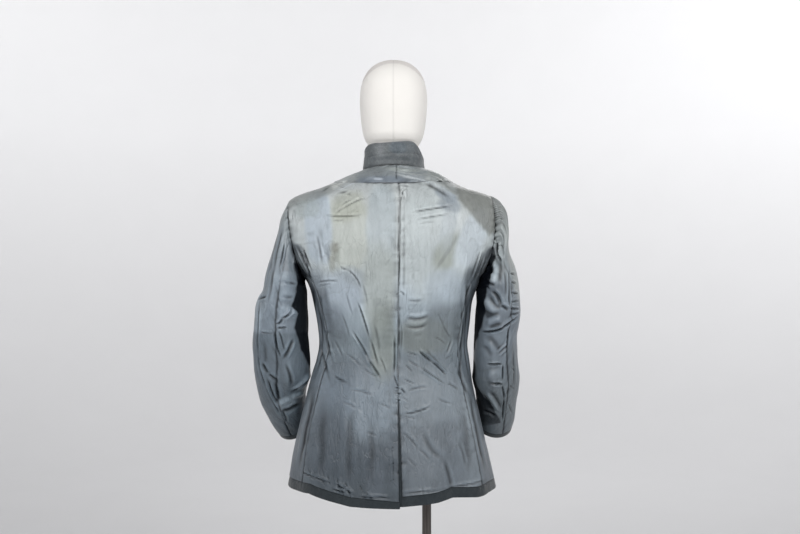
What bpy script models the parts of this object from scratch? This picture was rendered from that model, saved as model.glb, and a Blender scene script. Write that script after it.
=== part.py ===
"""An officer tunic worn inside out on a limbless dress form, in metres, +Z up.

The figure looks towards +Y, so the back of the tunic faces -Y and the form's right is at +X.
The origin is on the floor, at the middle of the base plate, under the figure's own axis.

The cloth is a ring surface. A ring is named by its climb, the length along the side of the figure from
the hem, and a point on it by its turn: 0 degrees at the back, 90 at +X, 180 in front and -90 at -X.
Every panel is a stretch of that surface between two seams, given a wall. The sleeves start at the tilted
plane of the armhole, fan round the underarm and go on as tubes.
"""

import math

import bmesh
import bpy
import numpy as np

# Cloth
WALL = 0.0020  # wool shell and lining together
COLLAR_WALL = 0.0030
CUFF_BAND = 0.012
SEAM_GAP = 0.0004
LAP_LIFT = 0.0034  # how far the upper front stands off the lower one
SQUARENESS = 2.2  # 2 is an ellipse, more is boxier

# Points across and up the panels
BACK_ACROSS, SIDE_ACROSS, FRONT_ACROSS, FACING_ACROSS = 9, 7, 7, 5
LOW_ROWS, ARMHOLE_ROWS, SHOULDER_ROWS, NECK_ROWS = 10, 8, 3, 6
LOWEST_LEVEL = 0.04  # climb of the lowest row that is level; the row below it follows the hem
SLEEVE_ACROSS = {"upper": 13, "under": 9}

LABEL = {-1: "left", 1: "right"}  # as seen from behind

# The tunic is turned a little on the form, so its back seam is not straight behind.
BACK_SEAM_TURN = 3.5
LAP = 0.018  # each front passes the middle by about this much, more at the hem than at the neck
LAP_AT_HEM, LAP_LOST_AT_NECK = 1.1, 0.5
LAP_CLEAR = 0.014  # the upper front is fully lifted this far before it meets the lower one
FACING_WIDTH = 0.085
FACING_MOST = 0.62  # of the half width of the ring
MIDDLE_FRONT = -0.008  # across of the line where the fronts close
FRONT_MIDDLE_TURN = 182.0  # turn of that line at the neck
VENT_TOP = 0.203  # climb at which the vent opens
VENT_SHOW = 0.005  # width of wool that shows at the foot of the vent
VENT_UNDERLAP = 0.022
VENT_CLEAR = 0.0008

# The rings, from the hem to the neck seam. Sides are at turn 90 (right) and -90 (left).
BODY_COLUMNS = ("side_height", "left", "right", "back_height", "back_depth", "front_height", "front_depth")
BODY_ROWS = (
    (0.764, 0.2300, 0.2233, 0.752, 0.140, 0.748, 0.141),
    (0.860, 0.2145, 0.2013, 0.857, 0.132, 0.857, 0.136),
    (0.930, 0.1985, 0.1860, 0.930, 0.122, 0.930, 0.130),
    (1.005, 0.1793, 0.1705, 1.005, 0.110, 1.005, 0.121),
    (1.044, 0.1670, 0.1640, 1.044, 0.104, 1.044, 0.116),
    (1.071, 0.1620, 0.1600, 1.071, 0.102, 1.071, 0.114),
    (1.110, 0.1639, 0.1635, 1.110, 0.105, 1.110, 0.116),
    (1.163, 0.1745, 0.1715, 1.163, 0.114, 1.163, 0.122),
    (1.205, 0.1860, 0.1810, 1.205, 0.120, 1.205, 0.127),
    (1.250, 0.2170, 0.2120, 1.250, 0.123, 1.250, 0.128),
    (1.300, 0.2370, 0.2330, 1.300, 0.122, 1.300, 0.124),
    (1.345, 0.2455, 0.2430, 1.347, 0.116, 1.343, 0.116),
    (1.375, 0.2400, 0.2380, 1.380, 0.108, 1.368, 0.107),
    (1.390, 0.2280, 0.2270, 1.400, 0.101, 1.381, 0.100),
    (1.402, 0.2050, 0.2050, 1.414, 0.093, 1.392, 0.093),
    (1.414, 0.1670, 0.1660, 1.428, 0.083, 1.403, 0.085),
    (1.426, 0.1380, 0.1370, 1.440, 0.075, 1.410, 0.080),
    (1.440, 0.1080, 0.1080, 1.452, 0.066, 1.417, 0.074),
    (1.4545, 0.0680, 0.0700, 1.4655, 0.054, 1.424, 0.064),
)

# The lower edge by turn: its height, and how much wool shows under the lining.
HEM_COLUMNS = ("turn", "height", "band")
HEM_ROWS = (
    (-180, 0.748, 0.020),
    (-130, 0.756, 0.020),
    (-90, 0.767, 0.021),
    (-70, 0.763, 0.021),
    (-48, 0.765, 0.020),
    (-33, 0.757, 0.019),
    (-15, 0.7485, 0.017),
    (3.499, 0.7465, 0.013),
    (3.501, 0.7500, 0.019),
    (24, 0.757, 0.020),
    (34, 0.764, 0.020),
    (50, 0.761, 0.021),
    (65, 0.764, 0.021),
    (90, 0.761, 0.021),
    (130, 0.755, 0.020),
    (180, 0.748, 0.020),
)

# The soft flutes of the skirt: a ridge (+) or trough (-) that fades out upwards.
FLUTE_COLUMNS = ("turn", "half_width", "depth", "top")
FLUTE_ROWS = (
    (-128, 16, 0.0050, 0.25),
    (-97, 13, 0.0035, 0.22),
    (-66, 12, -0.0045, 0.20),
    (-48, 11, 0.0040, 0.24),
    (-26, 12, -0.0030, 0.18),
    (20, 10, 0.0030, 0.14),
    (36, 9, -0.0055, 0.20),
    (52, 10, 0.0055, 0.26),
    (74, 12, -0.0035, 0.20),
    (104, 15, 0.0045, 0.24),
    (140, 15, -0.0040, 0.20),
)

# Seams between the back, side and front panels: climb and turn away from the back.
SIDE_SEAM_COLUMNS = ("climb", "back_seam", "front_seam")
SIDE_SEAM_ROWS = (
    (-0.02, 56, 118),
    (0.20, 57, 117),
    (0.32, 57, 116),
    (0.50, 65, 112),
    (0.70, 68, 112),
)

# Each armhole lies in a plane through the underarm, tilted out at the top and bowed out half way up.
ARMHOLE = {
    -1: {"across": 0.187, "height": 1.195, "tilt": 12.0, "rise": 0.195, "bow": 0.010},
    1: {"across": 0.182, "height": 1.195, "tilt": 7.8, "rise": 0.207, "bow": 0.020},
}
YOKE_BACK_RING = 14.6  # ring of the table that the yoke's edge meets at the back
YOKE_SHOULDER_RING = 16.3

# Sleeve heads: rings that fan round the underarm, by lean from upright, with their reach from it.
# The cloth twists round the arm on its way down, and takes both seams with it.
HEAD_COLUMNS = ("lean", "inner", "outer", "half_depth", "armhole_shape", "twist")
HEAD_ROWS = {
    -1: (
        (16.0, 0.0210, 0.1840, 0.064, 0.93, -7),
        (20.0, 0.0190, 0.1700, 0.066, 0.85, -9),
        (27.0, 0.0150, 0.1430, 0.069, 0.65, -12),
        (35.0, 0.0120, 0.1255, 0.072, 0.42, -15),
        (45.0, 0.0090, 0.1115, 0.074, 0.22, -17),
        (57.0, 0.0070, 0.1030, 0.075, 0.08, -18),
        (73.0, 0.0055, 0.0980, 0.075, 0.0, -19),
        (90.0, 0.0045, 0.0985, 0.075, 0.0, -19),
    ),
    1: (
        (14.0, 0.0210, 0.1985, 0.064, 0.93, 2),
        (20.0, 0.0190, 0.1840, 0.066, 0.80, -5),
        (27.0, 0.0150, 0.1510, 0.069, 0.62, -12),
        (35.0, 0.0120, 0.1200, 0.072, 0.42, -19),
        (45.0, 0.0090, 0.1050, 0.074, 0.22, -25),
        (57.0, 0.0070, 0.0990, 0.075, 0.08, -29),
        (73.0, 0.0055, 0.0955, 0.075, 0.0, -32),
        (90.0, 0.0045, 0.0945, 0.075, 0.0, -33),
    ),
}
ARMHOLE_TWIST = {-1: -5, 1: 6}

# Sleeves below the underarm: the middle line, half width across and half depth.
SLEEVE_COLUMNS = ("height", "across", "forward", "half_width", "half_depth", "twist")
SLEEVE_ROWS = {
    -1: (
        (1.150, -0.2460, 0.002, 0.0570, 0.073, -18),
        (1.100, -0.2495, 0.006, 0.0590, 0.068, -14),
        (1.050, -0.2510, 0.016, 0.0600, 0.062, -9),
        (1.000, -0.2530, 0.034, 0.0560, 0.060, -6),
        (0.955, -0.2495, 0.058, 0.0510, 0.056, -5),
        (0.912, -0.2385, 0.083, 0.0445, 0.051, -5),
        (0.880, -0.2275, 0.103, 0.0395, 0.047, -5),
    ),
    1: (
        (1.150, 0.2300, 0.002, 0.0490, 0.075, -33),
        (1.100, 0.2250, 0.006, 0.0465, 0.072, -31),
        (1.050, 0.2270, 0.012, 0.0465, 0.069, -28),
        (1.000, 0.2320, 0.022, 0.0470, 0.066, -26),
        (0.955, 0.2300, 0.040, 0.0450, 0.060, -25),
        (0.912, 0.2295, 0.060, 0.0435, 0.054, -25),
        (0.880, 0.2270, 0.076, 0.0405, 0.048, -25),
    ),
}
SLEEVE_TURNS = {"upper": (-115, 95), "under": (95, 245)}  # 0 outside, 90 at the back
SLEEVE_SEAM_TURN = 0.20  # half a seam gap
SLEEVE_ROWS_DOWN = 14
CUFF_STEP = 18.0

# Collar: height of its upper edge over the neck seam, by turn, and the ring of that edge.
COLLAR_COLUMNS = ("turn", "height")
COLLAR_ROWS = (
    (-180, 0.034),
    (-130, 0.038),
    (-95, 0.054),
    (-60, 0.053),
    (-20, 0.048),
    (15, 0.050),
    (35, 0.054),
    (45, 0.053),
    (57, 0.046),
    (70, 0.034),
    (90, 0.024),
    (130, 0.026),
    (180, 0.034),
)
COLLAR_FULL_HEIGHT = 0.055
COLLAR_GAP = 0.3  # degrees, at each end
COLLAR_EDGE = {"left": 0.0615, "right": 0.0600, "back": 0.0620, "front": 0.0640}

# Dress form: rings of its own below the shoulders and above the neck seam.
FORM_COLUMNS = ("side_height", "half", "back_height", "back", "front_height", "front")
FORM_LOW_ROWS = (
    (0.800, 0.150, 0.800, 0.095, 0.800, 0.095),
    (0.806, 0.164, 0.806, 0.108, 0.806, 0.108),
    (0.830, 0.172, 0.830, 0.115, 0.830, 0.115),
    (0.880, 0.172, 0.880, 0.117, 0.880, 0.119),
    (0.940, 0.165, 0.940, 0.111, 0.940, 0.117),
    (1.005, 0.154, 1.005, 0.101, 1.005, 0.110),
    (1.071, 0.146, 1.071, 0.094, 1.071, 0.104),
    (1.130, 0.149, 1.130, 0.099, 1.130, 0.109),
    (1.190, 0.160, 1.190, 0.109, 1.190, 0.117),
    (1.250, 0.172, 1.250, 0.114, 1.250, 0.119),
    (1.310, 0.183, 1.310, 0.111, 1.310, 0.113),
    (1.350, 0.190, 1.355, 0.104, 1.348, 0.104),
    (1.376, 0.190, 1.387, 0.094, 1.366, 0.095),
    (1.390, 0.184, 1.404, 0.086, 1.380, 0.087),
)
FORM_SHOULDER_RINGS = (15.0, 16.0, 17.0, 17.6)  # the tunic's rings that rest on it
FORM_NECK_ROWS = (
    (1.4490, 0.0595, 1.4560, 0.0465, 1.4190, 0.0560),
    (1.4700, 0.0555, 1.4720, 0.0455, 1.4500, 0.0540),
    (1.4985, 0.0540, 1.4985, 0.0470, 1.4985, 0.0540),
)
REST_GAP = 0.0014
FORM_STEP = 9.0

# Egg head: rings up to the crown.
HEAD_MIDDLE_FORWARD = 0.008
HEAD_SHIFT_OVER = 0.06  # height over which the rings move forward
EGG_COLUMNS = ("height", "half", "back", "front")
EGG_ROWS = (
    (1.4990, 0.0540, 0.047, 0.054),
    (1.5120, 0.0555, 0.050, 0.056),
    (1.5210, 0.0612, 0.060, 0.062),
    (1.5300, 0.0650, 0.069, 0.069),
    (1.5460, 0.0685, 0.077, 0.079),
    (1.5680, 0.0715, 0.083, 0.086),
    (1.5900, 0.0735, 0.087, 0.090),
    (1.6120, 0.0742, 0.088, 0.091),
    (1.6340, 0.0725, 0.085, 0.088),
    (1.6560, 0.0670, 0.078, 0.081),
    (1.6740, 0.0570, 0.066, 0.068),
    (1.6880, 0.0415, 0.048, 0.050),
    (1.6965, 0.0220, 0.026, 0.027),
)
CROWN = 1.7000

# Stand
POLE_ACROSS = 0.073
POLE_RADIUS = 0.010
POLE_INTO_FORM = 0.045
PLATE_RADIUS = 0.190
PLATE_THICK = 0.010
PLATE_EDGE = 0.003
PLATE_SEGMENTS = 64
SOCKET_RADIUS = 0.021
SOCKET_HEIGHT = 0.045
SOCKET_EDGE = 0.004
ROUND_SEGMENTS = 24

COLOURS = {
    "satin": ((0.300, 0.345, 0.390), 0.38, 0.0),
    "satin_yoke": ((0.270, 0.300, 0.330), 0.34, 0.0),
    "wool": ((0.055, 0.068, 0.070), 0.90, 0.0),
    "form_cloth": ((0.900, 0.860, 0.790), 0.85, 0.0),
    "pole_steel": ((0.110, 0.100, 0.095), 0.35, 1.0),
}


def clear_scene():
    for thing in list(bpy.data.objects):
        bpy.data.objects.remove(thing, do_unlink=True)


def columns(names, rows):
    return dict(zip(names, np.array(rows, float).T))


def smooth(knots, values, at):
    """A smooth curve through the values at the knots, read at the places given."""
    knots, values, at = (np.asarray(item, float) for item in (knots, values, at))
    slope = np.gradient(values, knots)
    place = np.clip(np.searchsorted(knots, at, side="right") - 1, 0, len(knots) - 2)
    step = knots[place + 1] - knots[place]
    t = (at - knots[place]) / step
    first = (1 + 2 * t) * (1 - t) ** 2 * values[place] + t * (1 - t) ** 2 * step * slope[place]
    second = t * t * (3 - 2 * t) * values[place + 1] + t * t * (t - 1) * step * slope[place + 1]
    return first + second


def ease(t):
    t = np.clip(t, 0.0, 1.0)
    return t * t * (3 - 2 * t)


BODY = columns(BODY_COLUMNS, BODY_ROWS)
HEM = columns(HEM_COLUMNS, HEM_ROWS)
SEAMS = columns(SIDE_SEAM_COLUMNS, SIDE_SEAM_ROWS)
COLLAR = columns(COLLAR_COLUMNS, COLLAR_ROWS)
CLIMB = np.concatenate(
    [[0.0], np.cumsum(np.hypot(np.diff(BODY["side_height"]), np.diff(BODY["right"])))]
)
NECK = CLIMB[-1]


def ring_climb(ring):
    """The climb of a ring of the table, or of a place between two of them."""
    return np.interp(ring, np.arange(len(CLIMB)), CLIMB)


def ring_size(name, climb):
    return smooth(CLIMB, BODY[name], climb)


def squared(turn, left, right, back, front):
    """Across and forward of a point on a rounded-square ring."""
    sine, cosine = np.sin(np.radians(turn)), np.cos(np.radians(turn))
    norm = (np.abs(sine) ** SQUARENESS + np.abs(cosine) ** SQUARENESS) ** (1 / SQUARENESS)
    across = np.where(sine < 0, left, right) * sine / norm
    forward = -np.where(cosine > 0, back, front) * cosine / norm
    return across, forward


def flute(turn, climb):
    lift = np.zeros(np.broadcast(turn, climb).shape)
    for row in FLUTE_ROWS:
        at = dict(zip(FLUTE_COLUMNS, row))
        away = (np.mod(turn - at["turn"] + 180, 360) - 180) / at["half_width"]
        lift += at["depth"] * np.exp(-away * away) * ease(1 - climb / at["top"])
    return lift


def bare_point(turn, climb):
    turn, climb = np.broadcast_arrays(np.asarray(turn, float), np.asarray(climb, float))
    size = {name: ring_size(name, climb) for name in BODY_COLUMNS}
    out = flute(turn, climb)
    across, forward = squared(
        turn, size["left"] + out, size["right"] + out, size["back_depth"] + out, size["front_depth"] + out
    )
    cosine = np.cos(np.radians(turn))
    end_height = np.where(cosine > 0, size["back_height"], size["front_height"])
    height = size["side_height"] + (end_height - size["side_height"]) * cosine**2
    return np.stack([across, forward, height], -1)


def cloth_point(turn, climb, lift=0.0):
    """A point of the cloth's outer face, moved out by lift along the face's own normal."""
    point = bare_point(turn, climb)
    by_turn = bare_point(np.asarray(turn) + 0.5, climb) - bare_point(np.asarray(turn) - 0.5, climb)
    low = np.maximum(np.asarray(climb, float) - 0.002, -0.03)
    high = np.minimum(np.asarray(climb, float) + 0.002, NECK)
    normal = np.cross(by_turn, bare_point(turn, high) - bare_point(turn, low))
    normal /= np.linalg.norm(normal, axis=-1, keepdims=True)
    return point + normal * np.asarray(lift, float)[..., None]


def turn_at(across, climb):
    """Turn of the front half where the ring passes this far to the side."""
    half = np.where(np.asarray(across) < 0, ring_size("left", climb), ring_size("right", climb))
    share = np.clip(np.abs(across) / half, 0, 0.999)
    depth = (1 - share**SQUARENESS) ** (1 / SQUARENESS)
    return np.sign(across) * (180 - np.degrees(np.arctan2(share, depth)))


def signed_turn(turn):
    return np.mod(turn + 180, 360) - 180


def metre_turn(turn, climb):
    """Degrees of turn in one metre along the ring here."""
    step = np.linalg.norm(bare_point(turn + 0.5, climb) - bare_point(turn - 0.5, climb), axis=-1)
    return 1.0 / step


def square_to(way, seam):
    """Length of each step of a way square to the line of a seam."""
    seam = seam / np.linalg.norm(seam, axis=-1, keepdims=True)
    return np.linalg.norm(way - seam * (way * seam).sum(-1, keepdims=True), axis=-1)


def side_seam(name, climb):
    return smooth(SEAMS["climb"], SEAMS[name], climb)


def hem_climb(turn, above=0.0):
    """Climb of the lower edge, or of a line this far above it."""
    height = np.interp(turn, HEM["turn"], HEM["height"]) + above
    return height - bare_point(turn, np.zeros_like(np.asarray(turn, float)))[..., 2]


def band_height(turn):
    return np.interp(turn, HEM["turn"], HEM["band"])


def armhole_bow(side, share):
    """How far the armhole bows out of its plane, at a share of the way up."""
    return ARMHOLE[side]["bow"] * np.sin(math.pi * np.clip(share, 0, 1))


def past_armhole(side, turn, climb):
    """How far the ring surface lies outside the armhole, which stops at the underarm."""
    point = bare_point(side * turn, climb)
    hole = ARMHOLE[side]
    above = point[..., 2] - hole["height"]
    plane = hole["across"] + above * math.tan(math.radians(hole["tilt"]))
    return np.where(above > 0, side * point[..., 0] - plane - armhole_bow(side, above / hole["rise"]), -1.0)


def bisect(function, low, high, shape):
    """Where the function turns from negative to positive, for many places at once."""
    low, high = np.full(shape, float(low)), np.full(shape, float(high))
    for _ in range(40):
        middle = (low + high) / 2
        inside = function(middle) < 0
        low, high = np.where(inside, middle, low), np.where(inside, high, middle)
    return low


def armhole_turn(side, climb, half):
    """Turn of the armhole's edge, 90 where the ring does not reach it."""
    climb = np.asarray(climb, float)
    start = 0.0 if half == "back" else 180.0
    share = bisect(
        lambda t: past_armhole(side, start + (90 - start) * t, climb), 0.0, 1.0, climb.shape
    )
    return start + (90 - start) * share


def armhole_ends(side):
    """Climbs of the lowest and the highest point of the armhole."""
    climbs = np.linspace(ring_climb(7), ring_climb(15), 4000)
    open_at = climbs[past_armhole(side, 90.0, climbs) > 0]
    return open_at[0], open_at[-1]


def junction(side, half):
    """Climb at which the side seam runs into the armhole."""
    name = half + "_seam"
    low, high = armhole_ends(side)
    climbs = np.linspace(low, (low + high) / 2, 4000)
    edge = armhole_turn(side, climbs, half)
    seam = side_seam(name, climbs)
    met = edge < seam if half == "back" else edge > seam
    return climbs[np.argmax(met)]


def material(name):
    found = bpy.data.materials.get(name)
    if found:
        return found
    colour, roughness, metallic = COLOURS[name]
    made = bpy.data.materials.new(name)
    made.use_nodes = True
    shader = made.node_tree.nodes["Principled BSDF"]
    shader.inputs["Base Color"].default_value = (*colour, 1.0)
    shader.inputs["Roughness"].default_value = roughness
    shader.inputs["Metallic"].default_value = metallic
    return made


def add_object(name, points, faces, finish, sharp=35.0):
    mesh = bpy.data.meshes.new(name)
    mesh.from_pydata([tuple(point) for point in points], [], [tuple(face) for face in faces])
    work = bmesh.new()
    work.from_mesh(mesh)
    bmesh.ops.recalc_face_normals(work, faces=work.faces)
    if work.calc_volume(signed=True) < 0:
        bmesh.ops.reverse_faces(work, faces=work.faces)
    work.to_mesh(mesh)
    work.free()
    mesh.shade_smooth()
    mesh.set_sharp_from_angle(angle=math.radians(sharp))
    mesh.materials.append(material(finish))
    made = bpy.data.objects.new(name, mesh)
    bpy.context.scene.collection.objects.link(made)
    return made


def wall(name, outer, inner, finish, around=False):
    """A closed cloth wall between two grids of points, rows by columns, open or closed around."""
    rows, across = outer.shape[:2]
    points = np.concatenate([outer.reshape(-1, 3), inner.reshape(-1, 3)])
    back = rows * across

    def at(row, column, face=0):
        return face * back + row * across + column % across

    last = across if around else across - 1
    faces = []
    for row in range(rows - 1):
        for column in range(last):
            for face in (0, 1):
                corners = [
                    at(row, column, face),
                    at(row, column + 1, face),
                    at(row + 1, column + 1, face),
                    at(row + 1, column, face),
                ]
                faces.append(corners if face == 0 else corners[::-1])
    for column in range(last):
        for row in (0, rows - 1):
            faces.append([at(row, column), at(row, column, 1), at(row, column + 1, 1), at(row, column + 1)])
    if not around:
        for row in range(rows - 1):
            for column in (0, across - 1):
                faces.append([at(row, column), at(row + 1, column), at(row + 1, column, 1), at(row, column, 1)])
    return add_object(name, points, faces, finish)


def gap_turn(seam_of, climb):
    """Half a seam gap in degrees of turn, for a seam that gives its turn by climb."""
    turn, step = seam_of(climb), 0.001
    seam = bare_point(seam_of(climb + step), climb + step) - bare_point(seam_of(climb - step), climb - step)
    ring = bare_point(turn + 0.5, climb) - bare_point(turn - 0.5, climb)
    return SEAM_GAP / 2 / square_to(ring, seam)


def lattice(low_of, high_of, climbs, foot_of, across):
    """Turns and climbs of a panel's points: level rows between two seams, the lowest on the hem line."""
    share = np.linspace(0, 1, across)
    climb = climbs[:, None] * np.ones(across)
    for _ in range(3):
        low, high = low_of(climb), high_of(climb)
        turn = low + (high - low) * share
        climb[0] = foot_of(turn[0])
    return turn, climb


def sheet(name, turn, climb, finish, lift=0.0):
    """A panel through a lattice of turns and climbs, its outer face moved out by lift."""
    lift = np.broadcast_to(lift, turn.shape)
    return wall(name, cloth_point(turn, climb, lift), cloth_point(turn, climb, lift - WALL), finish)


def lining_foot(turn):
    return hem_climb(turn, band_height(turn) + SEAM_GAP)


def body_climbs(side, half):
    """Climbs of the rows of a back or front panel: the hem, up to the side seam's end, up the armhole."""
    joined, tip = junction(side, half), armhole_ends(side)[1]
    low = np.linspace(LOWEST_LEVEL, joined, LOW_ROWS)
    high = joined + (tip - joined) * np.sin(np.linspace(0, math.pi / 2, ARMHOLE_ROWS))
    return np.concatenate([[0.0], low[:-1], high]), tip


def side_seam_turn(side, half, climb, offset):
    """Turn of a side seam, or of the edge beside it: towards the back (-1) or the front (1)."""
    turn = side * side_seam(half + "_seam", climb)
    return turn + offset * side * gap_turn(lambda at: side * side_seam(half + "_seam", at), climb)


def outer_edge(side, half, climb):
    """Turn of a panel's outer edge: side seam, then armhole, then shoulder seam."""
    offset = -1 if half == "back" else 1
    seam = side_seam_turn(side, half, climb, offset)
    edge = armhole_turn(side, climb, half) + offset * SEAM_GAP / 2 * metre_turn(90.0 * side, climb)
    return np.where(climb < junction(side, half), seam, side * edge)


def vent_show(climb):
    """Width of the wool strip that the vent shows, none above its top."""
    return VENT_SHOW * np.clip(1 - climb / VENT_TOP, 0, 1) ** 0.7


def back_edge(side, climb):
    """Turn of a back panel's edge at the back seam and the vent."""
    turn = np.full_like(climb, BACK_SEAM_TURN)
    if side > 0:
        turn = turn + vent_show(climb) * metre_turn(turn, climb)
    return turn + side * SEAM_GAP / 2 * metre_turn(turn, climb)


def yoke_climb(turn, offset):
    """Climb of the yoke's seam, or of the edge of the piece below (-1) or above it (1)."""
    back, shoulder = ring_climb(YOKE_BACK_RING), ring_climb(YOKE_SHOULDER_RING)

    def seam_of(turn):
        return back + (shoulder - back) * np.sin(np.radians(turn)) ** 2

    climb = seam_of(turn)
    seam = bare_point(turn + 0.5, seam_of(turn + 0.5)) - bare_point(turn - 0.5, seam_of(turn - 0.5))
    upwards = (bare_point(turn, climb + 0.001) - bare_point(turn, climb - 0.001)) / 0.002
    return climb + offset * SEAM_GAP / 2 / square_to(upwards, seam)


def make_back(side):
    climbs, tip = body_climbs(side, "back")
    turn, climb = lattice(
        lambda at: back_edge(side, at),
        lambda at: outer_edge(side, "back", at),
        climbs,
        lining_foot,
        BACK_ACROSS,
    )
    for step in range(1, SHOULDER_ROWS + 1):
        top = yoke_climb(turn[-1], -1)
        climb = np.vstack([climb, tip + (top - tip) * step / SHOULDER_ROWS])
        turn = np.vstack([turn, turn[-1]])
    sheet("back_lining_" + LABEL[side], turn, climb, "satin")


def make_yoke(rows=4):
    left = np.linspace(-90, BACK_SEAM_TURN, BACK_ACROSS)
    right = np.linspace(BACK_SEAM_TURN, 90, BACK_ACROSS)
    across = np.concatenate([left, right[1:]])
    across[[0, -1]] += np.array([1, -1]) * SEAM_GAP / 2 * metre_turn(90.0, NECK - 0.01)
    foot = yoke_climb(across, 1)
    climb = foot + (NECK - SEAM_GAP - foot) * np.linspace(0, 1, rows)[:, None]
    sheet("neck_yoke", across * np.ones((rows, 1)), climb, "satin_yoke")


def make_side(side):
    share = np.linspace(0, 1, SIDE_ACROSS)

    def turn_at_climb(climb):
        back, front = side_seam_turn(side, "back", climb, 1), side_seam_turn(side, "front", climb, -1)
        return back + (front - back) * share

    low = armhole_ends(side)[0] - 0.02
    high = max(junction(side, half) for half in ("back", "front")) + 0.02
    top = bisect(lambda at: past_armhole(side, side * turn_at_climb(at), at), low, high, share.shape)
    climb = LOWEST_LEVEL + (top - SEAM_GAP - LOWEST_LEVEL) * np.linspace(0, 1, LOW_ROWS)[:, None]
    climb = np.vstack([lining_foot(turn_at_climb(0.02)), climb])
    sheet("side_lining_" + LABEL[side], turn_at_climb(climb), climb, "satin")


def facing_edge(side, climb):
    """Across of the facing's inner edge, which draws in towards the neck."""
    half = ring_size("right" if side > 0 else "left", climb)
    return MIDDLE_FRONT + side * np.minimum(FACING_WIDTH, FACING_MOST * half)


def facing_turn(side, climb, offset):
    """Turn of the facing's seam, or of the edge beside it: outwards (-1) or towards the middle (1)."""

    def seam_of(climb):
        return turn_at(facing_edge(side, climb), climb)

    return seam_of(climb) + offset * side * gap_turn(seam_of, climb)


def front_lift(side, turn, climb):
    """The upper front stands off over the lower one."""
    if side > 0:
        return np.zeros(turn.shape)
    across = bare_point(turn, climb)[..., 0]
    start, full = MIDDLE_FRONT - FACING_WIDTH, MIDDLE_FRONT - LAP - LAP_CLEAR
    return LAP_LIFT * ease((across - start) / (full - start))


def front_climbs(side):
    climbs, tip = body_climbs(side, "front")
    return np.concatenate([climbs, np.linspace(tip, NECK - SEAM_GAP, NECK_ROWS)[1:]])


def make_front_lining(side):
    turn, climb = lattice(
        lambda at: outer_edge(side, "front", at),
        lambda at: facing_turn(side, at, -1),
        front_climbs(side),
        lining_foot,
        FRONT_ACROSS,
    )
    sheet("front_lining_" + LABEL[side], turn, climb, "satin", front_lift(side, turn, climb))


def lap_turn(side, climb):
    """Turn of a front's own edge, which laps past the middle a little less towards the neck."""
    turn = turn_at(MIDDLE_FRONT - side * LAP * (LAP_AT_HEM - LAP_LOST_AT_NECK * climb / NECK), climb)
    return np.where(turn * side < 0, turn + side * 360, turn)


def make_facing(side):
    turn, climb = lattice(
        lambda at: facing_turn(side, at, 1),
        lambda at: lap_turn(side, at),
        front_climbs(side),
        lambda turn: hem_climb(signed_turn(turn)),
        FACING_ACROSS,
    )
    sheet("front_facing_" + LABEL[side], turn, climb, "wool", front_lift(side, turn, climb))


def make_hem_band(name, low_of, high_of, across, lift_of=None):
    """A strip of wool along the hem, between two seams."""
    share = np.linspace(0, 1, across)
    climb = np.zeros((2, across))
    for _ in range(3):
        low, high = low_of(climb), high_of(climb)
        turn = low + (high - low) * share
        foot = hem_climb(turn[0])
        climb = np.vstack([foot, foot + band_height(turn[0])])
    sheet(name, turn, climb, "wool", lift_of(turn, climb) if lift_of else 0.0)


def make_hem(side):
    def seam(half, offset):
        return lambda climb: side_seam_turn(side, half, climb, offset)

    label = LABEL[side]
    make_hem_band("hem_back_" + label, lambda at: back_edge(side, at), seam("back", -1), BACK_ACROSS)
    make_hem_band("hem_side_" + label, seam("back", 1), seam("front", -1), SIDE_ACROSS)
    make_hem_band(
        "hem_front_" + label,
        seam("front", 1),
        lambda at: facing_turn(side, at, -1),
        FRONT_ACROSS,
        lambda turn, climb: front_lift(side, turn, climb),
    )


def make_vent_underlap(rows=9):
    """The right half's wool, which passes under the left half's edge."""
    climb = np.linspace(0, VENT_TOP, rows)
    seam = np.full_like(climb, BACK_SEAM_TURN)
    degrees = metre_turn(seam, climb)
    under = seam - VENT_UNDERLAP * degrees
    shown = seam + vent_show(climb) * degrees
    turn = np.stack([under, (under + seam) / 2, seam, shown], 1)
    grid = climb[:, None] * np.ones(4)
    grid[0] = hem_climb(turn[0])
    sheet("vent_underlap", turn, grid, "wool", -(WALL + VENT_CLEAR))


def make_collar(columns_across=31, rows=4):
    """A standing band that leans in, its upper edge uneven, open in front."""
    turn = np.linspace(FRONT_MIDDLE_TURN - 360 + COLLAR_GAP, FRONT_MIDDLE_TURN - COLLAR_GAP, columns_across)
    foot = cloth_point(turn, np.full(columns_across, NECK))
    edge = np.stack(squared(turn, *(COLLAR_EDGE[name] for name in ("left", "right", "back", "front"))), -1)
    share = np.linspace(0, 1, rows)[:, None]
    height = share * smooth(COLLAR["turn"], COLLAR["height"], signed_turn(turn))
    lean = (height / COLLAR_FULL_HEIGHT)[..., None]
    flat = foot[:, :2] + (edge - foot[:, :2]) * lean
    outwards = flat / np.linalg.norm(flat, axis=-1, keepdims=True)
    up = foot[:, 2] + 2 * SEAM_GAP + height
    faces = [np.concatenate([flat - outwards * inset, up[..., None]], -1) for inset in (0.0, COLLAR_WALL)]
    wall("collar", *faces, "wool")


def armhole_outline(side):
    """The armhole in its own plane: reach from the underarm point, and forward."""
    low, high = armhole_ends(side)
    climb = low + (high - low) * (1 - np.cos(np.linspace(0, math.pi, 41))) / 2
    upright = math.cos(math.radians(ARMHOLE[side]["tilt"]))
    line = []
    for half, order in (("back", 1), ("front", -1)):
        turn = armhole_turn(side, climb, half)
        point = bare_point(side * turn, climb)[::order]
        line.append(np.stack([(point[:, 2] - ARMHOLE[side]["height"]) / upright, point[:, 1]], 1))
    return np.concatenate(line)


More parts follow.
